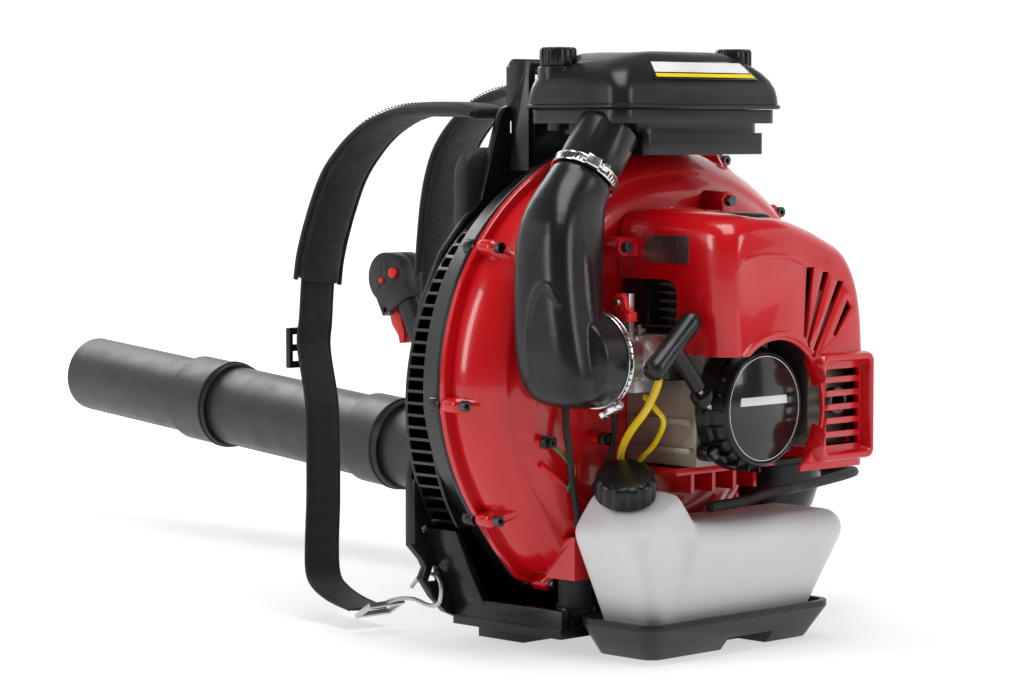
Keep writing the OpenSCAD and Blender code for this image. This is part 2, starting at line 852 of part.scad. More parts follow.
back_half = [[0, 14], [-112, 14], [-136, 24], [-151, 38], [-164, 55], [-159, 64], [-163, 71],
    [-wing_x, 84], [-wing_x, 143], [-168, 178], [-172, 205], [-172, 240], [-160, 288], [-138, 328],
    [-112, 356], [-94, 371], [-72, 440], [-66, 449], [-58, 452], [-58, 484], [-52, 491], [0, 491]];
hook_holes = [[-150, 57], [134, 44]];
module frame_back() {
    color(black)
    difference() {
        union() {
            xz_slab(plate_y, plate_y + plate_t)
                polygon(concat(back_half, [for (k = [len(back_half) - 2 : -1 : 1])
                    [-back_half[k][0], back_half[k][1]]]));
            // rim and ribs on the fan side
            mirrored() {
                box(-60, 46, 396, -52, plate_y + 1, 489);
                box(-176, 64, 86, -170, plate_y + 1, 140);
            }
            box(-59, 46, 482, 59, plate_y + 1, 489);
            for (z = [140, 200, 260])
                box(-140, 63.6, z, 140, plate_y + 1, z + 4);
        }
        // hand grip slot at the top
        xz_slab(plate_y - 10, plate_y + plate_t + 1) polygon(rr_points(-40, 460, 40, 478, 8));
        for (h = hook_holes)
            xz_slab(plate_y - 20, plate_y + plate_t + 1)
                polygon([[h[0] - 7, h[1] - 5], [h[0] + 7, h[1] - 6], [h[0] + 5, h[1] + 7], [h[0] - 1, h[1] + 8]]);
        for (z = [97, 131])
            ycyl(-160, plate_y - 20, plate_y + plate_t + 1, z, 3.4, small_fn);
        // slots for the shoulder straps
        mirrored()
            box(-60, plate_y - 1, 428, -34, plate_y + plate_t + 1, 438);
        // room for the blower tube on the right
        ycyl(tube_x, 50, 90, bellows_c[2], 54);
        for (s = [-1, 1])
            ycyl(s * iso_top[0], plate_y - 1, plate_y + plate_t + 1, iso_top[1], 4, small_fn);
    }
}
guard_r = 189;
module inlet_guard() {
    color(black) {
        difference() {
            ycyl(0, 29, 32.5, axis_z, guard_r);
            ycyl(0, 28, 34, axis_z, 174);
            box(-200, 27, 0, 200, 40, 100);
            box(120, 27, 90, 240, 70, 152);
        }
        difference() {
            ycyl(0, 60, 63.2, axis_z, guard_r - 2);
            ycyl(0, 59, 64, axis_z, 166);
            box(-200, 50, 0, 200, 70, 100);
            box(120, 27, 90, 240, 70, 152);
        }
        intersection() {
            difference() {
                ycyl(0, 32.4, 60.1, axis_z, guard_r - 1);
                ycyl(0, 30, 62, axis_z, 167);
                box(120, 27, 90, 240, 70, 152);
            }
            for (z = [104 : guard_pitch : 384])
                box(-200, 28, z, 200, 64, z + 2.4);
        }
    }
}
module isolators() {
    for (s = [-1, 1]) {
        color(metal) {
            zcyl(s * foot_x, foot_y, 37, 39, 16);
            zcyl(s * foot_x, foot_y, 59, 61, 15);
        }
        color(black)
            zcyl(s * foot_x, foot_y, 38.9, 59.1, 14);
        color(black)
            ycyl(s * iso_top[0], 28.1, plate_y, iso_top[1], 12, small_fn);
    }
}

// ---------- harness ----------
module back_pad() {
    color(grey)
        difference() {
            xz_slab(76, 100) polygon(rr_points(-108, 118, 108, 420, 30));
            xz_slab(92, 101) polygon(rr_points(-14, 110, 14, 430, 6));
        }
}
left_pad = [[-60, 88, 444], [-60, 112, 448], [-61, 142, 449], [-62, 176, 448], [-63, 206, 441],
    [-66, 230, 429], [-69, 250, 412], [-73, 268, 388], [-78, 281, 352], [-83, 288, 318], [-86, 289, 294]];
left_web = [[-86, 289, 292], [-91, 286, 261], [-95, 284, 236], [-102, 266, 190], [-109, 256, 146],
    [-116, 248, 103], [-123, 242, 64], [-127, 236, 40], [-129, 224, 29], [-132, 200, 21], [-139, 164, 17]];
right_pad = [[60, 88, 444], [60, 116, 456], [60, 148, 464], [60, 182, 464], [60, 214, 454],
    [61, 240, 438], [62, 262, 416], [64, 276, 392], [67, 287, 362], [70, 295, 327], [73, 301, 298]];
right_web = [[73, 302, 296], [75, 304, 262], [77, 302, 236], [80, 294, 190], [84, 284, 146],
    [88, 274, 103], [92, 266, 64], [96, 256, 40], [101, 238, 24], [111, 206, 12], [126, 166, 6]];
pad_t = 13;
web_t = 2;
module shoulder_pad_left() {
    color(black)
        band(smooth(left_pad, 2), pad_w, pad_t);
}
module shoulder_pad_right() {
    color(black)
        band(smooth(right_pad, 2), pad_w, pad_t);
}
module webbing_left() {
    color(black)
        band(smooth(left_web, 2), web_w, web_t);
}
module webbing_right() {
    color(black)
        band(smooth(right_web, 2), web_w, web_t);
}
// Ladder-lock buckle just outside the webbing
module buckle(c) {
    translate(c)
        difference() {
            box(-24, 5, -18, 24, 10.8, 18);
            box(-20, 4, 3, 20, 12, 12);
            box(-20, 4, -12, 20, 12, -3);
        }
}
module strap_buckles() {
    color(black) {
        buckle(left_web[2]);
        buckle(right_web[2]);
    }
}
// Wire hook through a hole in the back plate and round its lower edge, with a loop for the webbing
module hook(h) {
    translate([h[0], 0, h[1] - 57])
        difference() {
            union() {
                hose(smooth([[0, 96, 44], [0, 88, 52], [0, 80, 56.5], [0, 71.5, 57.5], [0, 63, 55],
                    [0, 59, 46], [0, 61, 35], [0, 68, 31], [0, 78, 31], [0, 92, 34], [0, 108, 33],
                    [0, 122, 29.5], [0, 128, 27]], 2), 2, 6);
                translate([0, 127, 27.5])
                    rotate([-32, 0, 0])
                        box(-20, 0, -2.5, 20, 22, 1.5);
            }
            translate([0, 127, 27.5])
                rotate([-32, 0, 0])
                    box(-16, 4, -4, 16, 18, 4);
        }
}
module snap_hooks() {
    color(metal) {
        for (h = hook_holes)
            hook(h);
    }
}

// ---------- blower tube ----------
bellows_c = [tube_x, 165, 90];
// Shapes on the tube's own axis: +Z of the child runs along the tube, 0 at the bellows' centre
module on_tube() {
    translate(bellows_c)
        rotate([tube_pitch - 90, 0, 0])
            children();
}
module tube_ring(s0, s1, r, ri) {
    difference() {
        translate([0, 0, s0])
            cylinder(h = s1 - s0, r = r, $fn = round_fn);
        translate([0, 0, s0 - 1])
            cylinder(h = s1 - s0 + 2, r = ri, $fn = round_fn);
    }
}
elbow_bend = 52;
function elbow_out(a) = [0, -cos(a), -sin(a)];
function elbow_ring(a, r) = [for (k = [0 : 23])
    [tube_x, -16 + elbow_bend, bellows_c[2] + elbow_bend] + (elbow_bend + r * sin(15 * k)) * elbow_out(a)
        + [r * cos(15 * k), 0, 0]];
module elbow_form(r) {
    swept([for (a = [0 : 15 : 90]) elbow_ring(a, r)]);
}
module outlet_elbow() {
    color(black)
    difference() {
        union() {
            elbow_form(44.8);
            ycyl(tube_x, -17 + elbow_bend, 96, bellows_c[2], 45.5);
            box(outlet_x0 + 1, -case_depth, outlet_z - 6, outlet_x1 + 4, front_depth, outlet_z - 0.3);
        }
        elbow_form(41.8);
        ycyl(tube_x, -18 + elbow_bend, 97, bellows_c[2], 42.5);
        zcyl(tube_x, -16, outlet_z - 7, outlet_z + 1, 42.5);
    }
}
bellows_pitch = 12;
bellows_profile = concat([[46.3, 94], [46.3, -44], [49.6, -44]],
    [for (k = [-2 : 3], q = [[49.6, -2], [54, -2], [54, 2], [49.6, 2]])
        [q[0], k * bellows_pitch + q[1]]], [[49.6, 94]]);
module bellows() {
    color(grey) {
        difference() {
            union() {
                ycyl(tube_x, 79, 128, bellows_c[2], 49.6);
                ycyl(tube_x, 114, 128, bellows_c[2], 54);
            }
            ycyl(tube_x, 78, 98, bellows_c[2], 45.8);
            ycyl(tube_x, 90, 129, bellows_c[2], 44.5);
        }
        on_tube()
            rotate_extrude($fn = round_fn)
                polygon(bellows_profile);
    }
}
swivel_end = 330;
module swivel_tube() {
    color(grey)
    on_tube() {
        tube_ring(66, 96, 46, tube_r - tube_wall);
        tube_ring(95.9, swivel_end, tube_r, tube_r - tube_wall);
    }
}
mid_r = tube_r - 0.3;
collar_r = 45.3;
module mid_tube() {
    color(grey)
    on_tube() {
        tube_ring(300, 352, collar_r, tube_r + slip_gap);
        tube_ring(347, 615, mid_r, mid_r - tube_wall);
        tube_ring(346, 350.1, tube_r + 1, mid_r - tube_wall);
        tube_ring(308, 312, collar_r + 1.2, collar_r - 0.5);
    }
}
end_r = 39.6;
tube_end = 816;
module end_tube() {
    color(grey)
    on_tube() {
        tube_ring(572, 630, collar_r - 0.6, mid_r + slip_gap);
        tube_ring(628, tube_end, end_r, end_r - tube_wall);
        tube_ring(627, 631, collar_r - 0.8, end_r - tube_wall);
        tube_ring(578, 582, collar_r + 0.6, collar_r - 1);
    }
}
module grip_cable() {
    color(black)
        hose(smooth([[243, 82, 97], [245, 120, 98], [247, 165, 103], [245, 215, 111], [240, 270, 119],
            [233, 320, 126], [226, 352, 138], [212, 372, 152], [196, 381, 160]], 3), 4);
}

// ---------- control handle ----------
grip_base = [tube_x, 411, 171];
grip_lean = -29; // forward lean from upright
// Shapes on the grip's own axis, +Z up the grip
module on_grip() {
    translate(grip_base)
        rotate([grip_lean, 0, 0])
            children();
}
module handle_bracket() {
    color(grey)
    difference() {
        union() {
            on_tube()
                tube_ring(218, 250, tube_r + 5, tube_r + 0.15);
            translate([tube_x, 407, 158])
                rotate([-20, 0, 0])
                    box(-12, -13, -4, 12, 13, 14);
        }
        on_tube()
            translate([0, 0, 210])
                cylinder(h = 50, r = tube_r + 0.15, $fn = round_fn);
        on_grip()
            box(-40, -40, 0, 40, 40, 60);
    }
}
head_c = [0, 6, 132]; // centre of the handle's head on the grip's axis
pivot_d = [0, 10, 128];
trig_p = [0, 22, 104];
module grip_form() {
    on_grip() {
        difference() {
            union() {
                scale_free_grip();
                translate(head_c)
                    xcyl(-17, 17, 0, 0, 25);
                box(-17, -15, 100, 17, 28, 126);
            }
            // slot for the cruise lever
            translate(pivot_d)
                xcyl(-7, 7, 2, 4, 18.5, small_fn);
            box(-7, 2, 128, 7, 40, 165);
            // slot for the trigger
            box(-7, 6, 60, 7, 30, 116);
            xcyl(-20, 20, trig_p[1], trig_p[2], 2.55, small_fn);
            xcyl(-20, 20, pivot_d[1] + 2, pivot_d[2] + 4, 3.05, small_fn);
            translate([-18, -8, 130])
                xcyl(0, 8, 0, 0, 5.3, small_fn);
        }
    }
}
module scale_free_grip() {
    translate([0, 0, 0.5])
        linear_extrude(108)
            polygon(rr_points(-14, -15, 14, 14, 12));
}
module grip_left() {
    color(grey)
    intersection() {
        grip_form();
        box(tube_x - 40, 340, 120, tube_x - 0.15, 560, 360);
    }
}
module grip_right() {
    color(grey)
    intersection() {
        grip_form();
        box(tube_x + 0.15, 340, 120, tube_x + 40, 560, 360);
    }
}
module trigger() {
    color(red)
    on_grip() {
        xcyl(-12, 12, trig_p[1], trig_p[2], 2.5, small_fn);
        difference() {
            union() {
                xcyl(-6, 6, trig_p[1], trig_p[2], 6, small_fn);
                yz_slab(-6, 6)
                    polygon([[16, 104], [28, 106], [31, 92], [28, 78], [30, 70], [24, 68], [18, 78],
                        [16, 92]]);
            }
            xcyl(-13, 13, trig_p[1], trig_p[2], 1, small_fn);
        }
    }
}
module cruise_lever() {
    color(red)
    on_grip()
        translate([0, pivot_d[1] + 2, pivot_d[2] + 4]) {
            xcyl(-6, 6, 0, 0, 15, small_fn);
            rotate([-35, 0, 0])
                box(-5, -4, 0, 5, 4, 27);
            xcyl(-18.5, 18.5, 0, 0, 3, small_fn);
        }
}
module stop_button() {
    color(red)
    on_grip()
        translate([-18, -8, 130])
            xcyl(-3, 6, 0, 0, 5, small_fn);
}

// ---------- fasteners ----------
module screw(x, y, z, length) {
    ycyl(x, y - 5, y, z, 4.6, small_fn);
    ycyl(x, y - 0.1, y + length, z, 2.5, small_fn);
}
module screws() {
    color(metal)
    difference() {
        union() {
            for (p = lugs)
                screw(p[0], lug_y, p[1], 32);
            screw(-77, -82.9, 335, 20);
            screw(49, -84, 371, 20);
            for (p = starter_bolts)
                screw(p[0], -150, p[1], 10);
        }
        for (p = lugs)
            ycyl(p[0], lug_y - 6, lug_y - 2, p[1], 2.2, 6);
    }
}

tank_guard();
frame_base();
frame_back();
isolators();
inlet_guard();
back_pad();
shoulder_pad_left();
shoulder_pad_right();
webbing_left();
webbing_right();
strap_buckles();
snap_hooks();
fan_case_rear();
fan_case_front();
screws();
impeller();
crankshaft();
bearings();
crankcase();
cylinder_block();
piston();
connecting_rod();
spark_plug();
plug_lead();
muffler();
ignition_coil();
insulator();
carburettor();
throttle_valve();
choke_lever();
intake_duct();
hose_clamps();
air_base();
air_element();
air_lid();
lid_knob_left();
lid_knob_right();
engine_cover();
cover_insert();
starter_housing();
starter_reel();
starter_handle();
starter_rope();
fuel_tank();
fuel_cap();
fuel_lines();
wiring();
throttle_conduit();
outlet_elbow();
bellows();
swivel_tube();
mid_tube();
end_tube();
grip_cable();
handle_bracket();
grip_left();
grip_right();
trigger();
cruise_lever();
stop_button();
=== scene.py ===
import json
import math

import bmesh
import bpy
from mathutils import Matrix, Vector


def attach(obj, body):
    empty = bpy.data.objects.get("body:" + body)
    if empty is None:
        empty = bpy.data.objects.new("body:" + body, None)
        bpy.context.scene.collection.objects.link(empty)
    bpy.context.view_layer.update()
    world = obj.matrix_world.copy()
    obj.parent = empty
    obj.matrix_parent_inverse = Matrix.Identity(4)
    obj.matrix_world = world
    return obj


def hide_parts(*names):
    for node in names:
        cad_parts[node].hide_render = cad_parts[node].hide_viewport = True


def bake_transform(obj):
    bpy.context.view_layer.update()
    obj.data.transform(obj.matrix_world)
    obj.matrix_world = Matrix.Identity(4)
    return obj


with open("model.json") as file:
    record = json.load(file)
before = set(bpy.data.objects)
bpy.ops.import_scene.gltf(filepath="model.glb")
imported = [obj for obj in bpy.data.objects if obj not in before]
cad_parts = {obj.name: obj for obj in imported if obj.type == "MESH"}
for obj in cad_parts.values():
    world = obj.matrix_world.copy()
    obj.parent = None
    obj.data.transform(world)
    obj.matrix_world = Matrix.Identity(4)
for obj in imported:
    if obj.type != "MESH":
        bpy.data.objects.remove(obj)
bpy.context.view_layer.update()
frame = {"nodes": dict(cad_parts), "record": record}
MM = 0.001
NODES = frame["nodes"]


# ---------- camera, floor and light ----------
def put_camera():
    data = bpy.data.cameras.new("view")
    data.sensor_width = 36
    data.lens = 112.9
    cam = bpy.data.objects.new("view", data)
    cam.location = (-1.9775, -1.8828, 0.4304)
    cam.rotation_euler = (math.radians(90 - 3.888), 0, math.radians(-44.5))
    bpy.context.collection.objects.link(cam)
    bpy.context.scene.camera = cam


def area_light(name, place, target, size, power, colour=(1, 1, 1)):
    data = bpy.data.lights.new(name, "AREA")
    data.shape = "RECTANGLE"
    data.size, data.size_y = size
    data.energy = power
    data.color = colour
    lamp = bpy.data.objects.new(name, data)
    lamp.location = place
    aim = Vector(target) - Vector(place)
    lamp.rotation_euler = aim.to_track_quat("-Z", "Y").to_euler()
    bpy.context.collection.objects.link(lamp)


def put_lights():
    world = bpy.data.worlds.new("studio")
    world.use_nodes = True
    back = world.node_tree.nodes["Background"]
    back.inputs["Color"].default_value = (1, 1, 1, 1)
    back.inputs["Strength"].default_value = 0.12
    bpy.context.scene.world = world
    area_light("top", (-0.2, -0.3, 2.3), (0, 0, 0.2), (1.2, 1.6), 34)
    area_light("left", (-2.3, 0.9, 1.2), (0, 0, 0.25), (0.5, 1.6), 20)
    area_light("rear", (0.9, -2.4, 1.3), (0, 0, 0.25), (0.6, 1.5), 17)
    area_light("front", (0.6, 2.4, 1.5), (0, 0.2, 0.2), (1.2, 1.2), 16)


def glowing(name, base, near, far):
    """White surface whose own glow grows with the distance from the middle."""
    mat = bpy.data.materials.new(name)
    mat.use_nodes = True
    tree = mat.node_tree
    bsdf = tree.nodes["Principled BSDF"]
    bsdf.inputs["Base Color"].default_value = (base, base, base, 1)
    bsdf.inputs["Roughness"].default_value = 0.9
    bsdf.inputs["Specular IOR Level"].default_value = 0.1
    bsdf.inputs["Emission Color"].default_value = (1, 1, 1, 1)
    place = tree.nodes.new("ShaderNodeTexCoord")
    length = tree.nodes.new("ShaderNodeVectorMath")
    length.operation = "LENGTH"
    spread = tree.nodes.new("ShaderNodeMapRange")
    for key, value in (("From Min", 0.7), ("From Max", 2.6), ("To Min", near), ("To Max", far)):
        spread.inputs[key].default_value = value
    tree.links.new(place.outputs["Object"], length.inputs[0])
    tree.links.new(length.outputs["Value"], spread.inputs["Value"])
    tree.links.new(spread.outputs["Result"], bsdf.inputs["Emission Strength"])
    return mat


def put_floor():
    """A pale floor that runs out to a bright wall behind."""
    bm = bmesh.new()
    bmesh.ops.create_circle(bm, cap_ends=True, segments=96, radius=14)
    data = bpy.data.meshes.new("floor")
    bm.to_mesh(data)
    bm.free()
    wall = bpy.data.meshes.new("wall")
    arc = [(13.9 * math.cos(t), 13.9 * math.sin(t)) for t in (math.radians(45 + 4 * k) for k in range(-22, 23))]
    wall.from_pydata([(x, y, z) for z in (-0.1, 9) for x, y in arc], [],
                     [(k, k + 1, k + 46, k + 45) for k in range(44)])
    for name, mesh, mat in (("floor", data, glowing("floor_white", 0.5, 0.56, 1.02)),
                            ("wall", wall, glowing("wall_white", 0, 1, 1.03))):
        ob = bpy.data.objects.new(name, mesh)
        ob.location = (0, 0, -0.0004)
        bpy.context.collection.objects.link(ob)
        mesh.materials.append(mat)


# ---------- materials ----------
class Nodes:
    """A short way to write a material's node tree."""

    def __init__(self, name):
        self.mat = bpy.data.materials.new(name)
        self.mat.use_nodes = True
        self.tree = self.mat.node_tree
        self.bsdf = self.tree.nodes["Principled BSDF"]
        self.place = self.add("ShaderNodeTexCoord").outputs["Object"]

    def add(self, kind, **values):
        node = self.tree.nodes.new(kind)
        for key, value in values.items():
            setattr(node, key, value)
        return node

    def link(self, out, into):
        self.tree.links.new(out, into)

    def noise(self, scale, detail=3.0, stretch=None):
        node = self.add("ShaderNodeTexNoise")
        node.inputs["Scale"].default_value = scale
        node.inputs["Detail"].default_value = detail
        source = self.place
        if stretch:
            mapping = self.add("ShaderNodeMapping")
            mapping.inputs["Scale"].default_value = stretch
            self.link(source, mapping.inputs["Vector"])
            source = mapping.outputs["Vector"]
        self.link(source, node.inputs["Vector"])
        return node.outputs["Fac"]

    def wave(self, scale, direction, distortion=0.0):
        node = self.add("ShaderNodeTexWave", wave_type="BANDS", bands_direction=direction)
        node.inputs["Scale"].default_value = scale
        node.inputs["Distortion"].default_value = distortion
        self.link(self.place, node.inputs["Vector"])
        return node.outputs["Fac"]

    def maths(self, kind, a, b):
        node = self.add("ShaderNodeMath", operation=kind)
        for i, value in enumerate((a, b)):
            if isinstance(value, (int, float)):
                node.inputs[i].default_value = value
            else:
                self.link(value, node.inputs[i])
        return node.outputs[0]

    def spread(self, source, low, high):
        node = self.add("ShaderNodeMapRange")
        node.inputs["From Min"].default_value = 0.3
        node.inputs["From Max"].default_value = 0.7
        node.inputs["To Min"].default_value = low
        node.inputs["To Max"].default_value = high
        self.link(source, node.inputs["Value"])
        return node.outputs["Result"]

    def mix(self, fac, a, b):
        node = self.add("ShaderNodeMix", data_type="RGBA")
        self.link(fac, node.inputs["Factor"])
        node.inputs["A"].default_value = (*a, 1)
        node.inputs["B"].default_value = (*b, 1)
        return node.outputs["Result"]

    def bumps(self, *layers):
        last = None
        for source, strength, distance in layers:
            node = self.add("ShaderNodeBump")
            node.inputs["Strength"].default_value = strength
            node.inputs["Distance"].default_value = distance
            self.link(source, node.inputs["Height"])
            if last:
                self.link(last, node.inputs["Normal"])
            last = node.outputs["Normal"]
        self.link(last, self.bsdf.inputs["Normal"])


def moulded(name, colour, rough, grain=900, grain_mm=0.05, coat=0.0, metal=0.0, vary=0.12, sss=0.0,
            orange=0.0, alpha=1.0):
    n = Nodes(name)
    light = tuple(min(1, c * (1 + vary) + 0.004) for c in colour)
    dark = tuple(c * (1 - vary) for c in colour)
    n.link(n.mix(n.spread(n.noise(14), 0, 1), dark, light), n.bsdf.inputs["Base Color"])
    n.link(n.spread(n.noise(45, 5), rough * 0.88, rough * 1.14), n.bsdf.inputs["Roughness"])
    layers = [(n.noise(grain, 2), 0.35, grain_mm * MM)]
    if orange:
        layers.append((n.noise(150, 1), 0.25, orange * MM))
    n.bumps(*layers)
    n.bsdf.inputs["Metallic"].default_value = metal
    n.bsdf.inputs["Specular IOR Level"].default_value = 0.35
    n.bsdf.inputs["Coat Weight"].default_value = coat
    n.bsdf.inputs["Coat Roughness"].default_value = 0.06
    if sss:
        n.bsdf.inputs["Subsurface Weight"].default_value = sss
        n.bsdf.inputs["Subsurface Radius"].default_value = (1, 1, 1)
        n.bsdf.inputs["Subsurface Scale"].default_value = 0.012
    return n.mat


def metal(name, colour, rough, streak=(1, 1, 30), mm=0.02):
    n = Nodes(name)
    n.link(n.mix(n.spread(n.noise(30, 4), 0, 1), tuple(c * 0.8 for c in colour), colour),
           n.bsdf.inputs["Base Color"])
    n.link(n.spread(n.noise(60, 6, streak), rough * 0.8, rough * 1.25), n.bsdf.inputs["Roughness"])
    n.bumps((n.noise(500, 3, streak), 0.3, mm * MM))
    n.bsdf.inputs["Metallic"].default_value = 1
    return n.mat


def woven(name, colour, thread_mm, rough=0.85, puff=0.0):
    n = Nodes(name)
    pitch = 1 / (thread_mm * MM) / 6.5
    over = n.maths("MULTIPLY", n.wave(pitch, "X", 0.4), n.wave(pitch, "Z", 0.4))
    under = n.maths("ADD", over, n.wave(pitch, "Y", 0.4))
    n.link(n.mix(n.spread(under, 0, 1), tuple(c * 0.82 for c in colour), tuple(c * 1.22 for c in colour)),
           n.bsdf.inputs["Base Color"])
    n.link(n.spread(n.noise(60), rough * 0.9, min(1, rough * 1.1)), n.bsdf.inputs["Roughness"])
    layers = [(under, 0.6, 0.15 * MM), (n.noise(1500, 2), 0.4, 0.1 * MM)]
    if puff:
        layers.append((n.noise(38, 3), 0.5, puff * MM))
    n.bumps(*layers)
    n.bsdf.inputs["Sheen Weight"].default_value = 0.08
    n.bsdf.inputs["Sheen Roughness"].default_value = 0.5
    return n.mat


M = {
    "red": moulded("red_shell", (0.56, 0.0015, 0.006), 0.24, 1200, 0.01, coat=0.5, vary=0.06, orange=0.02),
    "black": moulded("black_plastic", (0.005, 0.005, 0.0055), 0.3, 900, 0.05),
    "frame": moulded("frame_plastic", (0.0042, 0.0042, 0.0046), 0.25, 700, 0.06),
    "grey": moulded("grey_plastic", (0.0095, 0.0098, 0.0105), 0.36, 1100, 0.06),
    "lid": moulded("lid_plastic", (0.0085, 0.0085, 0.009), 0.3, 1300, 0.04),
    "tube": moulded("tube_plastic", (0.009, 0.0094, 0.0102), 0.38, 1000, 0.06),
    "tank": moulded("tank_plastic", (0.66, 0.665, 0.67), 0.42, 800, 0.05, vary=0.02, sss=0.35),
    "rubber": moulded("soft_rubber", (0.014, 0.014, 0.014), 0.6, 1500, 0.05),
    "casting": moulded("engine_casting", (0.33, 0.285, 0.235), 0.45, 650, 0.16, metal=0.55, vary=0.2),
    "burnt": metal("muffler_steel", (0.18, 0.15, 0.13), 0.45),
    "dark_steel": metal("black_steel", (0.10, 0.10, 0.105), 0.35),
    "steel": metal("plain_steel", (0.55, 0.55, 0.57), 0.33),
    "bright": metal("bright_band", (0.78, 0.78, 0.79), 0.2, (30, 1, 1), 0.01),
    "alu": metal("machined_alloy", (0.60, 0.60, 0.61), 0.35),
    "red_control": moulded("red_control", (0.62, 0.01, 0.012), 0.32, 1200, 0.03),
    "pad": woven("padded_fabric", (0.0095, 0.0095, 0.0105), 0.8, 0.62, puff=1.3),
    "web": woven("woven_web", (0.007, 0.007, 0.0075), 1.3, 0.6),
    "foam": woven("filter_foam", (0.4, 0.3, 0.16), 1.8),
    "rope": woven("cord_white", (0.6, 0.6, 0.57), 1.0),
    "yellow": moulded("fuel_hose", (0.75, 0.52, 0.01), 0.25, 900, 0.02, coat=0.3),
    "white": moulded("label_white", (0.75, 0.75, 0.73), 0.35, 900, 0.01),
    "disc": moulded("disc_black", (0.008, 0.008, 0.008), 0.18, 1200, 0.01, coat=0.4),
    "stripe": moulded("label_yellow", (0.85, 0.62, 0.0), 0.35, 900, 0.01),
    "duct": moulded("duct_plastic", (0.0075, 0.0077, 0.008), 0.27, 900, 0.04, orange=0.05),
    "foil": metal("plate_foil", (0.42, 0.42, 0.41), 0.3, (40, 40, 2), 0.01),
    "pipe": moulded("strap_piping", (0.012, 0.012, 0.013), 0.55, 1500, 0.08),
    "thread": moulded("strap_thread", (0.03, 0.03, 0.032), 0.7, 1500, 0.05),
    "green": moulded("wire_green", (0.01, 0.22, 0.03), 0.4),
    "orange": moulded("wire_orange", (0.62, 0.14, 0.01), 0.4),
}


# ---------- mesh work ----------
def settle(ob, angle=32):
    """Applies the modifiers, then shades smooth except along edges sharper than the angle."""
    graph = bpy.context.evaluated_depsgraph_get()
    data = bpy.data.meshes.new_from_object(ob.evaluated_get(graph))
    ob.modifiers.clear()
    old = ob.data
    ob.data = data
    bpy.data.meshes.remove(old)
    bm = bmesh.new()
    bm.from_mesh(data)
    limit = math.radians(angle)
    for face in bm.faces:
        face.smooth = True
    for edge in bm.edges:
        edge.smooth = len(edge.link_faces) == 2 and edge.calc_face_angle(0) < limit
    bm.to_mesh(data)
    bm.free()


def modify(ob, kind, **values):
    modifier = ob.modifiers.new(kind.lower(), kind)
    for key, value in values.items():
        setattr(modifier, key, value)
    return modifier


def raw(name, verts, faces):
    data = bpy.data.meshes.new(name)
    data.from_pydata([[c * MM for c in v] for v in verts], [], faces)
    bm = bmesh.new()
    bm.from_mesh(data)
    bmesh.ops.remove_doubles(bm, verts=bm.verts, dist=1e-6)
    bmesh.ops.recalc_face_normals(bm, faces=bm.faces)
    bm.to_mesh(data)
    bm.free()
    ob = bpy.data.objects.new(name, data)
    bpy.context.collection.objects.link(ob)
    return ob


def bevelled(ob, mm, segments=2, angle=28):
    modify(ob, "BEVEL", width=mm * MM, segments=segments, limit_method="ANGLE",
           angle_limit=math.radians(angle), harden_normals=False)
    settle(ob)


def cut(ob, *cutters):
    for cutter in cutters:
        modify(ob, "BOOLEAN", operation="DIFFERENCE", object=cutter, solver="MANIFOLD")
    settle(ob)
    for cutter in cutters:
        bpy.data.objects.remove(cutter)


def weld(ob, *others):
    for other in others:
        modify(ob, "BOOLEAN", operation="UNION", object=other, solver="MANIFOLD")
        settle(ob)
        bpy.data.objects.remove(other)


def join(name, *obs):
    """Several raw objects made into one object."""
    bm = bmesh.new()
    for ob in obs:
        bm.from_mesh(ob.data)
    data = bpy.data.meshes.new(name)
    bm.to_mesh(data)
    bm.free()
    for ob in obs:
        bpy.data.objects.remove(ob)
    joined = bpy.data.objects.new(name, data)
    bpy.context.collection.objects.link(joined)
    return joined


def piece(ob, mat, body="unit", replaces=()):
    ob.data.materials.clear()
    ob.data.materials.append(M[mat])
    if body:
        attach(ob, body)
    if replaces:
        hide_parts(*replaces)
    return ob


BODY_OF = {node: body for body, nodes in frame["record"]["behaviour"]["bodies"].items() for node in nodes}


def cad_copy(node, name=None):
    """The CAD node's own shape as a new mesh, with flat faces merged so that its edges can be rounded."""
    data = NODES[node].data.copy()
    bm = bmesh.new()
    bm.from_mesh(data)
    bmesh.ops.transform(bm, matrix=NODES[node].matrix_world, verts=bm.verts)
    bmesh.ops.remove_doubles(bm, verts=bm.verts, dist=2e-6)
    bmesh.ops.dissolve_limit(bm, angle_limit=math.radians(0.6), verts=bm.verts, edges=bm.edges)
    bmesh.ops.recalc_face_normals(bm, faces=bm.faces)
    bm.to_mesh(data)
    bm.free()
    data.materials.clear()
    ob = bpy.data.objects.new(name or node + "_edges", data)
    bpy.context.collection.objects.link(ob)
    return ob


def refined(node, mat, mm=0.8, segments=2):
    ob = cad_copy(node)
    bevelled(ob, mm, segments)
    return piece(ob, mat, BODY_OF[node], [node])


def unit(v):
    return Vector(v).normalized()


def rounded(x0, z0, x1, z1, r, n=6):
    """Outline of a rectangle with round corners."""
    out = []
    for cx, cz, a in ((x1 - r, z1 - r, 0), (x0 + r, z1 - r, 90), (x0 + r, z0 + r, 180), (x1 - r, z0 + r, 270)):
        for k in range(n + 1):
            t = math.radians(a + 90 * k / n)
            out.append((cx + r * math.cos(t), cz + r * math.sin(t)))
    return out


def loft(name, rings, closed=True, caps=True):
    n = len(rings[0])
    verts = [p for ring in rings for p in ring]
    faces = []
    for i in range(len(rings) - 1):
        for k in range(n if closed else n - 1):
            a, b = i * n + k, i * n + (k + 1) % n
            faces.append((a, b, b + n, a + n))
    if caps:
        faces.append(tuple(range(n))[::-1])
        faces.append(tuple((len(rings) - 1) * n + k for k in range(n)))
    return raw(name, verts, faces)


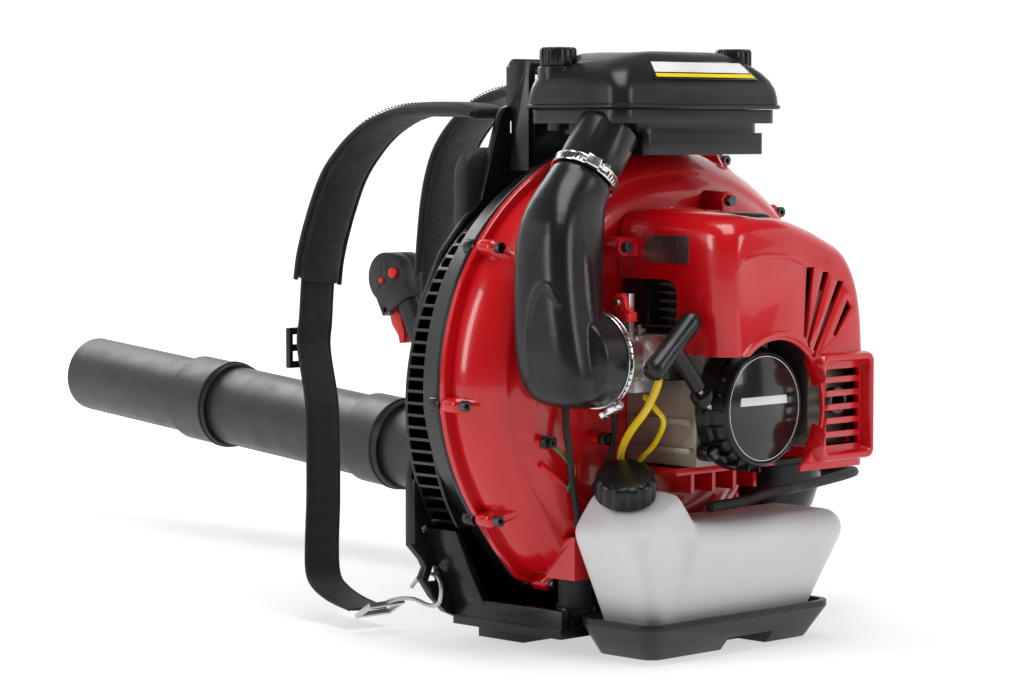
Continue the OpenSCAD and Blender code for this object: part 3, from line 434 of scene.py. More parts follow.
def turned(name, profile, origin, axis, sides=72):
    """A shape turned about an axis: profile is a closed loop of (radius, height)."""
    w = unit(axis)
    u = unit(w.cross(Vector((0.31, 0.17, 0.93))))
    v = w.cross(u)
    o = Vector(origin)
    rings = []
    for k in range(sides):
        t = 2 * math.pi * k / sides
        d = u * math.cos(t) + v * math.sin(t)
        rings.append([o + d * r + w * h for r, h in profile])
    n = len(profile)
    verts = [p for ring in rings for p in ring]
    faces = []
    for i in range(sides):
        for k in range(n):
            a, b = i * n + k, i * n + (k + 1) % n
            c, d = ((i + 1) % sides) * n + (k + 1) % n, ((i + 1) % sides) * n + k
            faces.append((a, b, c, d))
    ob = raw(name, verts, faces)
    bm = bmesh.new()
    bm.from_mesh(ob.data)
    bmesh.ops.dissolve_degenerate(bm, dist=1e-7, edges=bm.edges)
    bm.to_mesh(ob.data)
    bm.free()
    return ob


def spline(points, n=6):
    """Smooth route through the points."""
    p = [Vector(q) for q in points]
    out = []
    for i in range(len(p) - 1):
        a, b, c, d = p[max(i - 1, 0)], p[i], p[i + 1], p[min(i + 2, len(p) - 1)]
        for k in range(n):
            u = k / n
            out.append(0.5 * ((2 * b) + (c - a) * u + (2 * a - 5 * b + 4 * c - d) * u * u
                              + (3 * b - a - 3 * c + d) * u ** 3))
    return out + [p[-1]]


def hose(name, points, r, sides=16, n=6, ribs=None):
    route = spline(points, n)
    rings = []
    up = None
    for i, p in enumerate(route):
        d = unit(route[min(i + 1, len(route) - 1)] - route[max(i - 1, 0)])
        u = unit(d.cross(Vector((0.31, 0.17, 0.93)))) if up is None else unit(up - d * up.dot(d))
        up = u
        v = d.cross(u)
        radius = r * (1 + ribs * (i % 2)) if ribs else r
        rings.append([p + (u * math.cos(t) + v * math.sin(t)) * radius
                      for t in (2 * math.pi * k / sides for k in range(sides))])
    ob = loft(name, rings)
    settle(ob, 50)
    return ob


def prism(name, outline, y0, y1):
    """An outline in X and Z, made solid from y0 to y1."""
    return loft(name, [[(x, y, z) for x, z in outline] for y in (y0, y1)])


def block(name, low, high):
    x0, y0, z0 = low
    x1, y1, z1 = high
    return prism(name, [(x0, z0), (x1, z0), (x1, z1), (x0, z1)], y0, y1)


# CAD nodes shown with their own shape: material and edge rounding in mm
PIECE_MATERIALS = {
    "tank_guard": ("grey", 1.5), "frame_base": ("frame", 1.2), "frame_back": ("frame", 1.6),
    "inlet_guard": ("frame", 0.5), "strap_buckles": ("black", 0.8), "fan_case_front": ("frame", 1.2),
    "screws": ("dark_steel", 0.3), "impeller": ("grey", 0.4), "crankshaft": ("steel", 0.4),
    "bearings": ("steel", 0.3), "crankcase": ("casting", 1.2), "cylinder_block": ("casting", 0.5),
    "piston": ("alu", 0.4), "connecting_rod": ("steel", 0.4), "spark_plug": ("steel", 0.4),
    "muffler": ("burnt", 1.2), "ignition_coil": ("black", 1.0), "insulator": ("grey", 0.8),
    "carburettor": ("alu", 0.8), "throttle_valve": ("steel", 0.2), "choke_lever": ("red_control", 0.5),
    "air_base": ("lid", 1.2), "air_element": ("foam", 2.0), "starter_reel": ("grey", 0.5),
    "outlet_elbow": ("frame", 0.5), "swivel_tube": ("tube", 0.5), "mid_tube": ("tube", 0.5),
    "end_tube": ("tube", 0.5), "handle_bracket": ("tube", 0.8), "grip_left": ("tube", 1.5),
    "grip_right": ("tube", 1.5), "trigger": ("red_control", 0.8), "cruise_lever": ("red_control", 0.8),
    "stop_button": ("red_control", 0.5), "snap_hooks": ("steel", 0.3), "isolators": ("rubber", 0.5),
    "plug_lead": ("rubber", 0.3), "fuel_lines": ("yellow", 0.2), "wiring": ("rubber", 0.2),
    "throttle_conduit": ("rubber", 0.2),
}

def offset_loop(points, d):
    """The closed outline moved inward by d, mitred; the outline runs anticlockwise."""
    out = []
    n = len(points)
    for i, p in enumerate(points):
        a, b = points[i - 1], points[(i + 1) % n]
        e = Vector((p[0] - a[0], p[1] - a[1])).normalized()
        f = Vector((b[0] - p[0], b[1] - p[1])).normalized()
        m = Vector((-e.y - f.y, e.x + f.x))
        if m.length < 1e-6:
            m = Vector((-e.y, e.x))
        m = m.normalized()
        k = max(0.5, m.dot(Vector((-e.y, e.x))))
        out.append((p[0] + m.x * d / k, p[1] + m.y * d / k))
    return out


def anticlockwise(points):
    area = sum(p[0] * q[1] - q[0] * p[1] for p, q in zip(points, points[1:] + points[:1]))
    return points if area > 0 else points[::-1]


def smooth2(points, n=5):
    return [(p.x, p.y) for p in spline([(x, z, 0) for x, z in points], n)]


def ring_xz(points, y):
    return [(x, y, z) for x, z in points]


def cylinder_y(name, x, z, r, y0, y1, sides=48):
    return loft(name, [[(x + r * math.cos(t), y, z + r * math.sin(t))
                        for t in (2 * math.pi * k / sides for k in range(sides))] for y in (y0, y1)])


def socket_head(name, place, axis, r=4.6, h=4.2, washer=True):
    """Cap screw head with a hexagon socket."""
    profile = [(0, 0.2), (r, 0.2), (r, h - 0.5), (r - 0.5, h), (r * 0.52, h), (r * 0.5, h * 0.45),
               (0, h * 0.45)]
    head = turned(name, profile, place, axis, 24)
    if washer:
        disc = turned(name + "_w", [(0, -0.3), (r + 1.6, -0.3), (r + 1.6, 0.4), (0, 0.4)], place, axis, 28)
        head = join(name, head, disc)
    settle(head, 30)
    return head


# ---------- engine cover ----------
COVER_REAR = -182
COVER_FRONT = -62


def cover_section(y):
    """Outline of the cover at a depth: its crown falls to the rear and its right shoulder is round."""
    t = (COVER_FRONT - y) / (COVER_FRONT - COVER_REAR)
    drop = 7 * t * t
    top = smooth2([(-62, 340 - drop), (-60.5, 351 - drop), (-54, 360 - drop), (-42, 365 - drop),
                   (-18, 367 - drop),
                   (10, 366 - drop), (40, 359 - drop), (68, 348 - drop * 0.8), (92, 331), (108, 308),
                   (115.5, 280), (118, 250)], 4)
    left = [(-62, z) for z in (150, 200, 250, 300)]
    right = [(118, z) for z in (215, 180, 150)]
    return anticlockwise(left + top + right)


def shrunk(loop, d, low=150):
    """The cover's outline drawn in by about d on its sides and top."""
    return [(28 + (x - 28) * (1 - d / 90), low if z < 151 else 150 + (z - 150) * (1 - d / 217)) for x,
            z in loop]


def engine_cover():
    depths = ((-62, 0), (-75, 0), (-95, 0), (-120, 0), (-145, 0.2), (-158, 0.7), (-167, 1.8),
              (-174, 4.2), (-178.6, 7.4), (-181.2, 11), (-182, 14.5))
    shell = loft("cover_shell", [ring_xz(shrunk(cover_section(y), d), y) for y, d in depths])
    inner = loft("cover_inner", [ring_xz(shrunk(cover_section(max(y, -179)), d + 3, 120),
                                         y + 3 if y < -62 else -40)
                                 for y, d in depths])
    cut(shell, inner)
    # frame round the exhaust outlet, standing out of the rear face
    outlet = loft("outlet", [ring_xz(rounded(*box, r), y) for box, r, y in (
        ((45, 155, 117, 247), 9, -172), ((46, 156, 116, 246), 8, -186), ((47.5, 157.5, 114.5, 244.5), 7,
                                                                         -189.4),
        ((49, 159, 113, 243), 6, -190), ((52, 162, 111, 240), 5, -189.5), ((53.5, 163.5, 110, 238.5), 4, -186),
        ((55, 165, 109, 237), 4, -172))])
    # raised lip round the starter's arch and the crease above it
    arch = [(62 * math.cos(t), 203 + 62 * math.sin(t)) for t in (math.radians(a) for a in range(-32, 140, 6))]
    lip = hose("lip", [(x, -181.4, z) for x, z in arch], 2.6, 10, 2)
    crease = hose("crease", [(-50, -180.3, 318), (-38, -181.6, 327), (-14, -181.8, 329), (14, -181.6, 327),
                             (30, -181.4, 322)], 2.2, 10, 5)
    rim = hose("rim", [(29, -181.6, 158), (30.5, -181.8, 190), (33, -181.8, 222), (37, -181.4, 246)], 2.2, 10,
               4)
    body = shell
    weld(body, outlet, lip, crease, rim)
    window = loft("window", [[(x, y, z) for y, z in rounded(-127, 120, -50, 309, 13)] for x in (-70, -56)])
    arch_cut = cylinder_y("arch_cut", 0, 203, 57, -200, -170)
    low_left = block("low_left", (-75, -200, 130), (0, -170, 248))
    low_panel = block("low_panel", (-75, -200, 130), (-50, -123, 248))
    low_mid = block("low_mid", (-2, -200, 130), (29, -170, 172))
    mouth = prism("mouth", rounded(55, 165, 109, 237, 4), -200, -184)
    cut(body, window, arch_cut)
    slats = [block("slat", (59, -195, 169 + 11.4 * k), (104, -165, 175.5 + 11.4 * k)) for k in range(6)]
    for opening in (low_left, low_panel, low_mid, mouth, *slats):
        cut(body, opening)
    # slanted vents that fan out from above the starter
    for x0, z0, xa, za, xb, zb in ((33.5, 262, 35, 318, 45, 318), (36.5, 254, 56, 314, 64, 313),
                                   (43, 246, 75, 306, 83, 305), (71, 262, 88, 290, 93, 283)):
        cut(body, prism("vent", [(x0 - 1.5, z0 - 1), (x0 + 2.2, z0 - 2.5), (xb, zb), (xa, za)], -195, -165))
    # hollow in the top that holds the dark insert
    hollow = loft("hollow", [[(x, y, z) for x, y in rounded(-19 - g, -166 - g, 29 + g, -88 + g, 14)]
                             for z, g in ((352, 0), (356.5, 1), (361, 4), (380, 20))])
    cut(body, hollow)
    # ears that reach the bosses of the fan case
    weld(body, block("web", (-77, -82.7, 327.5), (-61.5, -79.6, 342.5)),
         cylinder_y("ear", -77, 335, 8, -82.9, -79.4),
         block("web", (42, -83.8, 352), (56, -80.7, 371)), cylinder_y("ear", 49, 371, 8, -84, -80.5))
    bevelled(body, 0.7, 2, 35)
    body.name = "engine_cover_shell"
    piece(body, "red", replaces=["engine_cover"])
    insert = loft("insert", [[(x, y, z) for x, y in rounded(-15 + g, -159 + g, 25 - g, -93 - g, 10)]
                             for z, g in ((346, 0), (356, 0), (360.5, 1.5), (362.6, 5), (363, 12))])
    bevelled(insert, 0.8)
    insert.name = "cover_insert_cap"
    piece(insert, "black", replaces=["cover_insert"])
    # plain foil plate on the left panel
    foil = loft("foil", [[(x, y, z) for y, z in rounded(-140, 322, -90, 345, 2)] for x in (-62.6, -61.8)])
    settle(foil)
    foil.name = "foil_plate"
    piece(foil, "foil")


# ---------- air cleaner ----------
def lid_loop(x0, y0, x1, y1, r, z, bulge=0.0):
    return [(x, y, z + bulge * (1 - ((x - (x0 + x1) / 2) / ((x1 - x0) / 2)) ** 2))
            for x, y in rounded(x0, y0, x1, y1, r, 6)]


def air_cleaner():
    rings = [lid_loop(-101, -102, 102, 15, 15, 448), lid_loop(-102.6, -103, 103, 16, 16, 449),
             lid_loop(-102.6, -103, 103, 16, 16, 451), lid_loop(-101, -101, 101.5, 14, 15, 452),
             lid_loop(-100.5, -100.5, 101, 13.5, 15, 458), lid_loop(-99.5, -99.5, 100, 12.5, 16, 465),
             lid_loop(-97, -96, 98, 11, 17, 472), lid_loop(-92, -91, 94, 9, 18, 478.5),
             lid_loop(-84, -85.5, 88, 7, 19, 484), lid_loop(-72, -80, 80, 5, 20, 489),
             lid_loop(-62, -75.5, 74, 3, 20, 492, 1), lid_loop(-54, -71, 68, 0, 19, 494, 2),
             lid_loop(-44, -66, 60, -5, 17, 494.6, 2.2)]
    lid = loft("lid", rings)
    seats = ((-80, -9), (79, -62))
    towers = [turned("tower", [(0, 450), (17.5, 450), (17.2, 481), (16.2, 483.2), (14.5, 483.6), (0, 483.6)],
                     (x, y, 0), (0, 0, 1), 48) for x, y in seats]
    for x, y in seats:
        cut(lid, turned("pocket", [(0, 483.6), (19.5, 483.6), (23, 500), (0, 500)], (x, y, 0), (0, 0, 1), 48))
    weld(lid, *towers)
    core = loft("core", [[(x, y, z) for x, y in rounded(-60 + g, -78 + g, 70 - g, 2 - g, 14)]
                         for z, g in ((440, 0), (486, 2))])
    cut(lid, core)
    bevelled(lid, 1.0, 3, 25)
    lid.name = "air_lid_shell"
    piece(lid, "lid", "lid", ["air_lid"])

    def on_slope(corners, off, up):
        """Corners (x, share of the slope's height) on the slope that faces the rear, raised off it."""
        return [(x, -97.8 + s * 20.5 - off, 470.6 + s * 20 + up) for x, s in corners]

    # label plate, blank but for its pale field and its stripe
    corners = ((-58, 0.06), (70, 0.06), (64, 0.80), (-50, 0.80))
    ob = loft("label_plate", [on_slope(corners, 0, 0), on_slope(corners, 1.3, 1.1)])
    bevelled(ob, 0.4)
    piece(ob, "disc", "lid")
    ob = loft("label_band", [on_slope(((-54, 0.12), (67, 0.12), (66, 0.26), (-53, 0.26)), k, k * 0.85)
                             for k in (1.2, 1.5)])
    settle(ob)
    piece(ob, "stripe", "lid")
    ob = loft("label_field", [on_slope(((-52, 0.32), (65, 0.32), (62, 0.74), (-48, 0.74)), k, k * 0.85)
                              for k in (1.2, 1.5)])
    bevelled(ob, 0.2)
    piece(ob, "white", "lid")
    for node, (x, y), body in (("lid_knob_left", (-80, -9), "knob_a"), ("lid_knob_right", (79, -62), "knob_b")):
        sides = 96
        rings = []
        for z, g in ((484, 0.4), (485, 0), (496.5, 0), (498.3, 0.9), (499, 2.6)):
            radii = [15.5 - g - (1.1 if (k // 4) % 2 else 0) for k in range(sides)]
            rings.append([(x + r * math.cos(2 * math.pi * k / sides), y + r * math.sin(2 * math.pi * k / sides),
                           z)
                          for k, r in enumerate(radii)])
        grip = loft("grip", rings)
        stem = turned("stem", [(0, 436), (3, 436), (3, 485), (0, 485)], (x, y, 0), (0, 0, 1), 24)
        knob = join(node + "_ribbed", grip, stem)
        settle(knob, 40)
        piece(knob, "black", body, [node])


# ---------- intake duct ----------
def intake_duct():
    """Blow-moulded duct: ellipse-like sections that widen to a flat box at the bottom."""
    # centre, lean in degrees, half width, half depth, and how round: 1 is an ellipse
    stations = [
        ((-108, -67, 395), 37.7, 27, 27, 1.0),
        ((-116, -68, 385), 37.7, 27, 27, 1.0),
        ((-124, -69, 376), 33, 28, 27, 0.9),
        ((-134, -72, 364), 24, 31, 28, 0.75),
        ((-143, -76, 350), 16, 32, 29, 0.6),
        ((-151, -80, 330), 9, 31, 30, 0.55),
        ((-156, -84, 305), 6, 29, 31, 0.5),
        ((-160, -88, 278), 4, 27, 33, 0.5),
        ((-162, -92, 252), 2, 26, 35, 0.5),
        ((-162, -95, 234), 0, 25, 35, 0.55),
        ((-162, -97, 221), 0, 22, 32, 0.6),
        ((-162, -98, 213), 0, 16, 26, 0.7),
        ((-162, -98, 209), 0, 8, 14, 0.9),
    ]
    rings = []
    sides = 40
    for c, lean, a, b, power in stations:
        ring = []
        for k in range(sides):
            t = 2 * math.pi * k / sides
            u = math.copysign(abs(math.cos(t)) ** power, math.cos(t)) * a
            v = math.copysign(abs(math.sin(t)) ** power, math.sin(t)) * b
            ln = math.radians(lean)
            ring.append((c[0] + u * math.cos(ln), c[1] + v, c[2] - u * math.sin(ln)))
        rings.append(ring)
    body = loft("duct", rings)
    modify(body, "SUBSURF", levels=1, render_levels=1)
    settle(body)
    collar = turned("collar", [(0, 0), (38.5, 0), (38.5, 30), (37.5, 33), (30, 36), (0, 36)],
                    (-124.5, -100, 246), (-1, 0, 0), 72)
    # ridges pressed into the faces that show
    side = hose("ridge", [(-181.8, -112, 292), (-183.4, -106, 303), (-184, -97, 308), (-184.5, -88, 303),
                          (-185, -82, 285), (-186, -80, 255), (-184.6, -84, 232)], 2.4, 10, 5)
    rear = hose("ridge", [(-147, -101.5, 352), (-150, -109, 325), (-152.5, -114.5, 300), (-154, -120, 270),
                          (-153, -124, 245), (-154, -126.5, 228)], 3.0, 10, 5)
    weld(body, collar, side, rear)
    modify(body, "REMESH", mode="VOXEL", voxel_size=1.7 * MM)
    modify(body, "SMOOTH", factor=0.5, iterations=7)
    settle(body, 60)
    bore = turned("bore", [(0, 0), (23.6, 0), (23.6, 22), (0, 22)], (-106.2, -67, 397.4), (-0.6115, 0, -0.7912),
                  48)
    cut(body, bore)
    body.name = "intake_duct_body"
    piece(body, "duct", replaces=["intake_duct"])


# ---------- fuel tank ----------
def ball_hull(name, points):
    """Convex hull of balls given as (x, y, z, r)."""
    bm = bmesh.new()
    for x, y, z, r in points:
        for i in range(220):
            h = 1 - (2 * i + 1) / 220
            t = i * 2.39996
            w = math.sqrt(1 - h * h)
            bm.verts.new(((x + r * w * math.cos(t)) * MM, (y + r * w * math.sin(t)) * MM, (z + r * h) * MM))
    bmesh.ops.convex_hull(bm, input=bm.verts)
    bmesh.ops.delete(bm, geom=[v for v in bm.verts if not v.link_faces], context="VERTS")
    bmesh.ops.recalc_face_normals(bm, faces=bm.faces)
    data = bpy.data.meshes.new(name)
    bm.to_mesh(data)
    bm.free()
    ob = bpy.data.objects.new(name, data)
    bpy.context.collection.objects.link(ob)
    return ob


CAP_AXIS = unit((-0.3428, -0.3428, 0.8746))
CAP_AT = Vector((-101, -107, 142))


def fuel_tank():
    r = 13
    left = ball_hull("left", [(-95 + r, -135 + r, 13 + r, r), (8, -135 + r, 13 + r, r),
                              (-95 + r, -72 - r, 13 + r, r),
                              (8, -72 - r, 13 + r, r), (-131 + 18, -151 + 18, 103, 17), (-131 + 18, -67 - 18,
                                                                                         103, 17),
                              (-52 - 18, -151 + 18, 103, 17), (-52 - 18, -67 - 18, 103, 17), (-118 + 14,
                                                                                              -141 + 14, 123, 14),
                              (-118 + 14, -73 - 14, 123, 14), (-60 - 14, -141 + 14, 123, 14), (-60 - 14,
                                                                                               -73 - 14, 123, 14)])
    right = ball_hull("right", [(-70, -135 + r, 13 + r, r), (98 - r, -135 + r, 13 + r, r),
                                (-70, -72 - r, 13 + r, r),
                                (98 - r, -72 - r, 13 + r, r), (-60, -154 + 16, 94, 15.5), (128 - 17, -154 + 17,
                                                                                           93, 16.5),
                                (-60, -67 - 15, 94, 15.5), (128 - 17, -67 - 17, 93, 16.5)])
    weld(left, right)
    corner = turned("corner", [(0, -9), (70, -9), (70, 40), (0, 40)], CAP_AT, CAP_AXIS, 64)
    cut(left, corner)
    modify(left, "REMESH", mode="VOXEL", voxel_size=2.2 * MM)
    modify(left, "SMOOTH", factor=0.5, iterations=12)
    settle(left, 60)
    neck = turned("neck", [(17.5, -14), (19.5, -14), (19.5, 4), (17.5, 4)], CAP_AT, CAP_AXIS, 64)
    throat = turned("throat", [(0, -24), (17.6, -24), (17.6, 6), (0, 6)], CAP_AT, CAP_AXIS, 64)
    cut(left, throat)
    tank = join("fuel_tank_body", left, neck)
    settle(tank, 50)
    piece(tank, "tank", replaces=["fuel_tank"])
    sides = 144
    w = CAP_AXIS
    u = unit(w.cross(Vector((0, 0, 1))))
    v = w.cross(u)
    rings = []
    for h, r, rib in ((-7.8, 24.2, 0), (-7.4, 25, 0), (-4, 25.2, 0.6), (-2, 25.5, 1), (7, 25.3, 1),
                      (9.6, 24.6, 1),
                      (11.2, 22.8, 0.7), (12, 19, 0), (12, 8, 0), (12, 0.6, 0)):
        ring = []
        for k in range(sides):
            t = 2 * math.pi * k / sides
            groove = 1.9 * rib * max(0, math.cos(12 * t)) ** 1.5
            ring.append(CAP_AT + (u * math.cos(t) + v * math.sin(t)) * (r - groove) + w * h)
        rings.append(ring)
    cap = loft("fuel_cap_ribbed", rings)
    settle(cap, 40)
    piece(cap, "black", "cap", ["fuel_cap"])


# ---------- fan case ----------
CASE_RADII = ((0, 252), (45, 236), (66, 224), (90, 214), (120, 208), (150, 206), (180, 199), (205, 185))


def case_radius(a):
    for (a0, r0), (a1, r1) in zip(CASE_RADII, CASE_RADII[1:]):
        if a <= a1:
            return r0 + (r1 - r0) * (a - a0) / (a1 - a0)
    return CASE_RADII[-1][1]


def case_outline():
    spiral = [(case_radius(a) * math.cos(math.radians(a)), 203 + case_radius(a) * math.sin(math.radians(a)))
              for a in range(0, 206, 5)]
    return spiral + [(-163, 119), (-141, 90), (-117, 65), (-92, 57), (-68, 52), (-20, 52), (20, 52), (58, 52),
                     (90, 79),
                     (118, 104), (134, 128), (136, 142.4), (180, 142.4), (220, 142.4), (252, 142.4)]


def case_lugs():
    out = []
    for a in (0, 21, 40, 61, 141, 178.5, 209):
        r = (case_radius(a) if a < 205 else case_radius(205)) + 3
        out.append((r * math.cos(math.radians(a)), 203 + r * math.sin(math.radians(a))))
    return out + [(-100, 54), (66, 48), (128, 98)]


def fan_case():
    """Rear half of the case: a flange, then one smooth shoulder up to the flat wall behind the engine."""
    outline = case_outline()
    outer = ((-8, -0.2), (-8, -4), (-7.2, -5), (0, -5.2), (0, -12), (0.8, -18), (3, -25.5), (6.4, -32),
             (11, -38.5),
             (17, -45), (20.4, -47.6), (23, -48.4), (26, -49.4), (30, -52.6), (36, -57), (42, -59.4), (48, -60))
    shell = loft("case", [ring_xz(offset_loop(outline, d), y) for d, y in outer])
    inner = ((3, 1), (3, -12), (4, -19), (7, -28), (13, -37), (20, -43.5), (29, -48), (38, -54), (46, -57))
    hollow = loft("hollow", [ring_xz(offset_loop(outline, d), y) for d, y in inner])
    cut(shell, hollow)
    extras = [block("foot", (s * 96 - 17, -61, 61), (s * 96 + 17, -28, 97)) for s in (-1, 1)]
    shelf = block("shelf", (-56, -122, 130), (66, -57, 154))
    cut(shelf, block("under", (-62, -130, 124), (72, -64, 148)))
    extras.append(shelf)
    for x in (-30, -4, 22, 48):
        extras.append(prism("web", [(x - 2, 131), (x + 2, 131), (x + 2, 149), (x - 2, 149)], -116, -60))
    for x, y0, y1, z, r in ((-149, -62, -40, 178, 6), (-92, -74, -58, 178, 6), (-77, -79.7, -40, 335, 8.5),
                            (49, -80, -40, 371, 8.5)):
        extras.append(cylinder_y("boss", x, z, r, y0, y1, 32))
    for x, z in case_lugs():
        d = Vector((-x, 203 - z)).normalized()
        points = [(x, -6.5, z, 6.8), (x, -15.5, z, 6.8), (x + d.x * 9, -24, z + d.y * 9, 6),
                  (x + d.x * 22, -37, z + d.y * 22, 4.2)]
        extras.append(ball_hull("finger", points))
    # raised ribs on the wall below and beside the engine
    for x0, z0, x1, z1 in ((-150, 160, -60, 100), (-60, 100, -20, 66), (-110, 84, -40, 140),
                           (-20, 66, 60, 118)):
        extras.append(hose("rib", [(x0, -58.6, z0), ((x0 + x1) / 2, -58.6, (z0 + z1) / 2), (x1, -58.6, z1)],
                           3.0, 10, 2))
    for other in extras:
        weld(shell, other)
    shaft = cylinder_y("shaft", 0, 203, 24, -70, 4)
    cut(shell, shaft)
    for x, z in case_lugs():
        cut(shell, cylinder_y("hole", x, z, 2.7, -50, 2, 16))
    cut(shell, block("entry", (148, -33, 130), (226, -3, 168)))
    bevelled(shell, 1.1, 2, 38)
    shell.name = "fan_case_rear_shell"
    piece(shell, "red", "unit", ["fan_case_rear"])


# ---------- small electrical parts ----------
def small_parts():
    for name, mat, r, line in (
            ("earth_wire", "green", 1.1, [(-149, -64, 178), (-140, -68, 171), (-128, -68, 160),
                                          (-122, -66, 148), (-126, -65, 136)]),
            ("stop_wire", "orange", 1.1, [(-147, -65, 176), (-136, -67, 170), (-124, -67, 163),
                                          (-117, -65, 151), (-121, -64, 139)])):
        ob = hose(name, line, r, 10, 6)
        piece(ob, mat)
    for name, x, y, z in (("cable_clip_left", -149, -66, 178), ("cable_clip_right", -92, -76.5, 178)):
        clip = loft("clip", [ring_xz(rounded(x - 8, z - 4.5, x + 8, z + 4.5, 3), y - g) for g in (-2.5, 2.5)])
        bevelled(clip, 0.8)
        head = socket_head("head", (x, y - 2.5, z), (0, -1, 0), 3.4, 3)
        clip = join(name, clip, head)
        settle(clip, 30)
        piece(clip, "black")


# ---------- clamps ----------
def band_clamp(name, origin, axis, r, half, screw):
    """Worm-drive clamp: rolled band with slots, and the housing and screw that tighten it."""
    w = unit(axis)
    u = unit(w.cross(Vector((0.31, 0.17, 0.93))))
    v = w.cross(u)
    band = turned(name, [(r, -half), (r + 0.9, -half), (r + 1.15, -half + 0.6), (r + 0.75, -half + 1.4),
                         (r + 0.75, half - 1.4),
                         (r + 1.15, half - 0.6), (r + 0.9, half), (r, half)], origin, w, 108)
    settle(band, 30)
    slots = []
    for k in range(46):
        t = 2 * math.pi * k / 46
        d = u * math.cos(t) + v * math.sin(t)
        e = w.cross(d)
        o = Vector(origin) + d * (r + 0.86)
        slant = e * 0.8
        ring = [[o + w * h + e * g + slant * (h / half) + d * k2 for h, g in
                 ((-half * 0.55, -0.8), (half * 0.55, -0.8), (half * 0.55, 0.8),
                  (-half * 0.55, 0.8))] for k2 in (-0.3, 0.08)]
        slots.append(loft("slot", ring))
    marks = join(name + "_slots", *slots)
    settle(marks)
    piece(marks, "disc")
    s = unit(Vector(screw))
    e = w.cross(s)
    at = Vector(origin) + s * (r + 4.4)
    box = loft("box", [[at + s * a + e * g + w * h for a, h in rounded(-3.6, -half - 0.8, 3.4, half + 0.8,
                                                                       2.2)] for g in (-6, 6)])
    bevelled(box, 0.4)
    worm = turned("worm", [(0, -10), (2.6, -10), (3.1, -9), (3.1, 9), (2.6, 10), (0, 10)], at, e, 24)
    head = turned("head", [(0, 9), (3.9, 9), (3.9, 13.4), (3.3, 14), (0, 14)], at, e, 6)
    for ob in (worm, head):
        settle(ob, 30)
    joined = join(name, band, box, worm, head)
    settle(joined, 30)
    piece(joined, "bright")
    return joined


def clamps():
    tilt = math.radians(37.7)
    axis = (math.sin(tilt), 0, math.cos(tilt))
    first = band_clamp("neck_clamp", Vector((-106, -67, 397)) - Vector(axis) * 3.5, axis, 27.3, 4.3,
                       (-0.5, -0.8, 0.35))
    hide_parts("hose_clamps")
    band_clamp("collar_clamp", (-128.3, -100, 246), (1, 0, 0), 38.7, 3.0, (0, -0.45, -0.9))
    band_clamp("bellows_clamp", (187, 85, 90), (0, 1, 0), 49.9, 4.6, (0.2, 0, -1))


# ---------- starter ----------
def starter():
    axis = (0, -1, 0)
    dish = turned("dish", [(0, 140), (36, 140), (49, 143), (50, 147), (50, 158), (48.5, 161.5), (47.5, 163),
                           (47, 166.6),
                           (45.6, 168), (44.8, 168), (44.2, 166.2), (0, 166.2)], (0, 0, 203), axis, 96)
    # collar that joins the dish to the crankcase, with its ribs
    skirt = turned("skirt", [(49.4, 139), (53, 139), (52.5, 150), (49.4, 153)], (0, 0, 203), axis, 96)
    parts = [skirt]
    for k in range(9):
        t = math.radians(150 + 15 * k)
        c, s_ = math.cos(t), math.sin(t)
        rib = [(49 * c - 0.9 * s_, 49 * s_ + 0.9 * c), (53 * c - 0.9 * s_, 53 * s_ + 0.9 * c),
               (53 * c + 0.9 * s_, 53 * s_ - 0.9 * c), (49 * c + 0.9 * s_, 49 * s_ - 0.9 * c)]
        parts.append(prism("rib", [(x, z + 203) for x, z in rib], -163, -141))
    base = cad_copy("starter_housing")
    rim = cylinder_y("rim_cut", 0, 203, 60, -200, -148)
    cut(base, rim)
    bevelled(base, 0.8)
    bevelled(dish, 0.5, 2, 20)
    for ob in parts:
        settle(ob)
    ob = join("starter_dish", base, dish, *parts)
    settle(ob, 28)
    piece(ob, "black", replaces=["starter_housing"])
    disc = turned("disc", [(0, 166), (44, 166), (44, 167.2), (43, 167.8), (0, 167.8)], (0, 0, 203), axis, 96)
    settle(disc)
    disc.name = "starter_disc"
    piece(disc, "disc")
    ring = turned("ring", [(42.6, 167.7), (43.1, 167.7), (43.1, 168.0), (42.6, 168.0)], (0, 0, 203), axis, 96)
    settle(ring)
    ring.name = "starter_disc_ring"
    piece(ring, "white")
    band = prism("band", [(-30, 206), (28, 206), (27, 213), (-29, 213)], -168.3, -167.6)
    bevelled(band, 0.5)
    band.name = "starter_blank_band"
    piece(band, "white")


# ---------- pull handle ----------
def pull_handle():
    w = unit((-0.655, 0, 0.7556))
    at = Vector((-27.2, -153, 179.4)) + w * 104
    bar = unit(w.cross(Vector((0, 1, 0))))
    rings = []
    side = w.cross(bar)
    for h, r in ((-34, 4), (-33.4, 7), (-31.5, 9), (-27, 9.8), (-14, 9.2), (0, 8.7), (14, 9.2), (27, 9.8),
                 (31.5, 9),
                 (33.4, 7), (34, 4)):
        ring = []
        for k in range(36):
            t = 2 * math.pi * k / 36
            flat = 1 - 0.10 * abs(math.sin(t)) ** 2
            ring.append(at + bar * h + (side * math.cos(t) + w * math.sin(t) * flat) * r)
        rings.append(ring)
    grip = loft("grip", rings)
    neck = turned("neck", [(0, -48), (5.5, -48), (6.4, -46), (6.8, -20), (7, -8), (8.4, 0), (0, 0)], at, w, 32)
    modify(grip, "BOOLEAN", operation="UNION", object=neck, solver="EXACT")
    settle(grip)
    bpy.data.objects.remove(neck)
    modify(grip, "REMESH", mode="VOXEL", voxel_size=0.8 * MM)
    modify(grip, "SMOOTH", factor=0.5, iterations=6)
    settle(grip, 60)
    grip.name = "pull_handle_grip"
    piece(grip, "black", "pull_handle", ["starter_handle"])


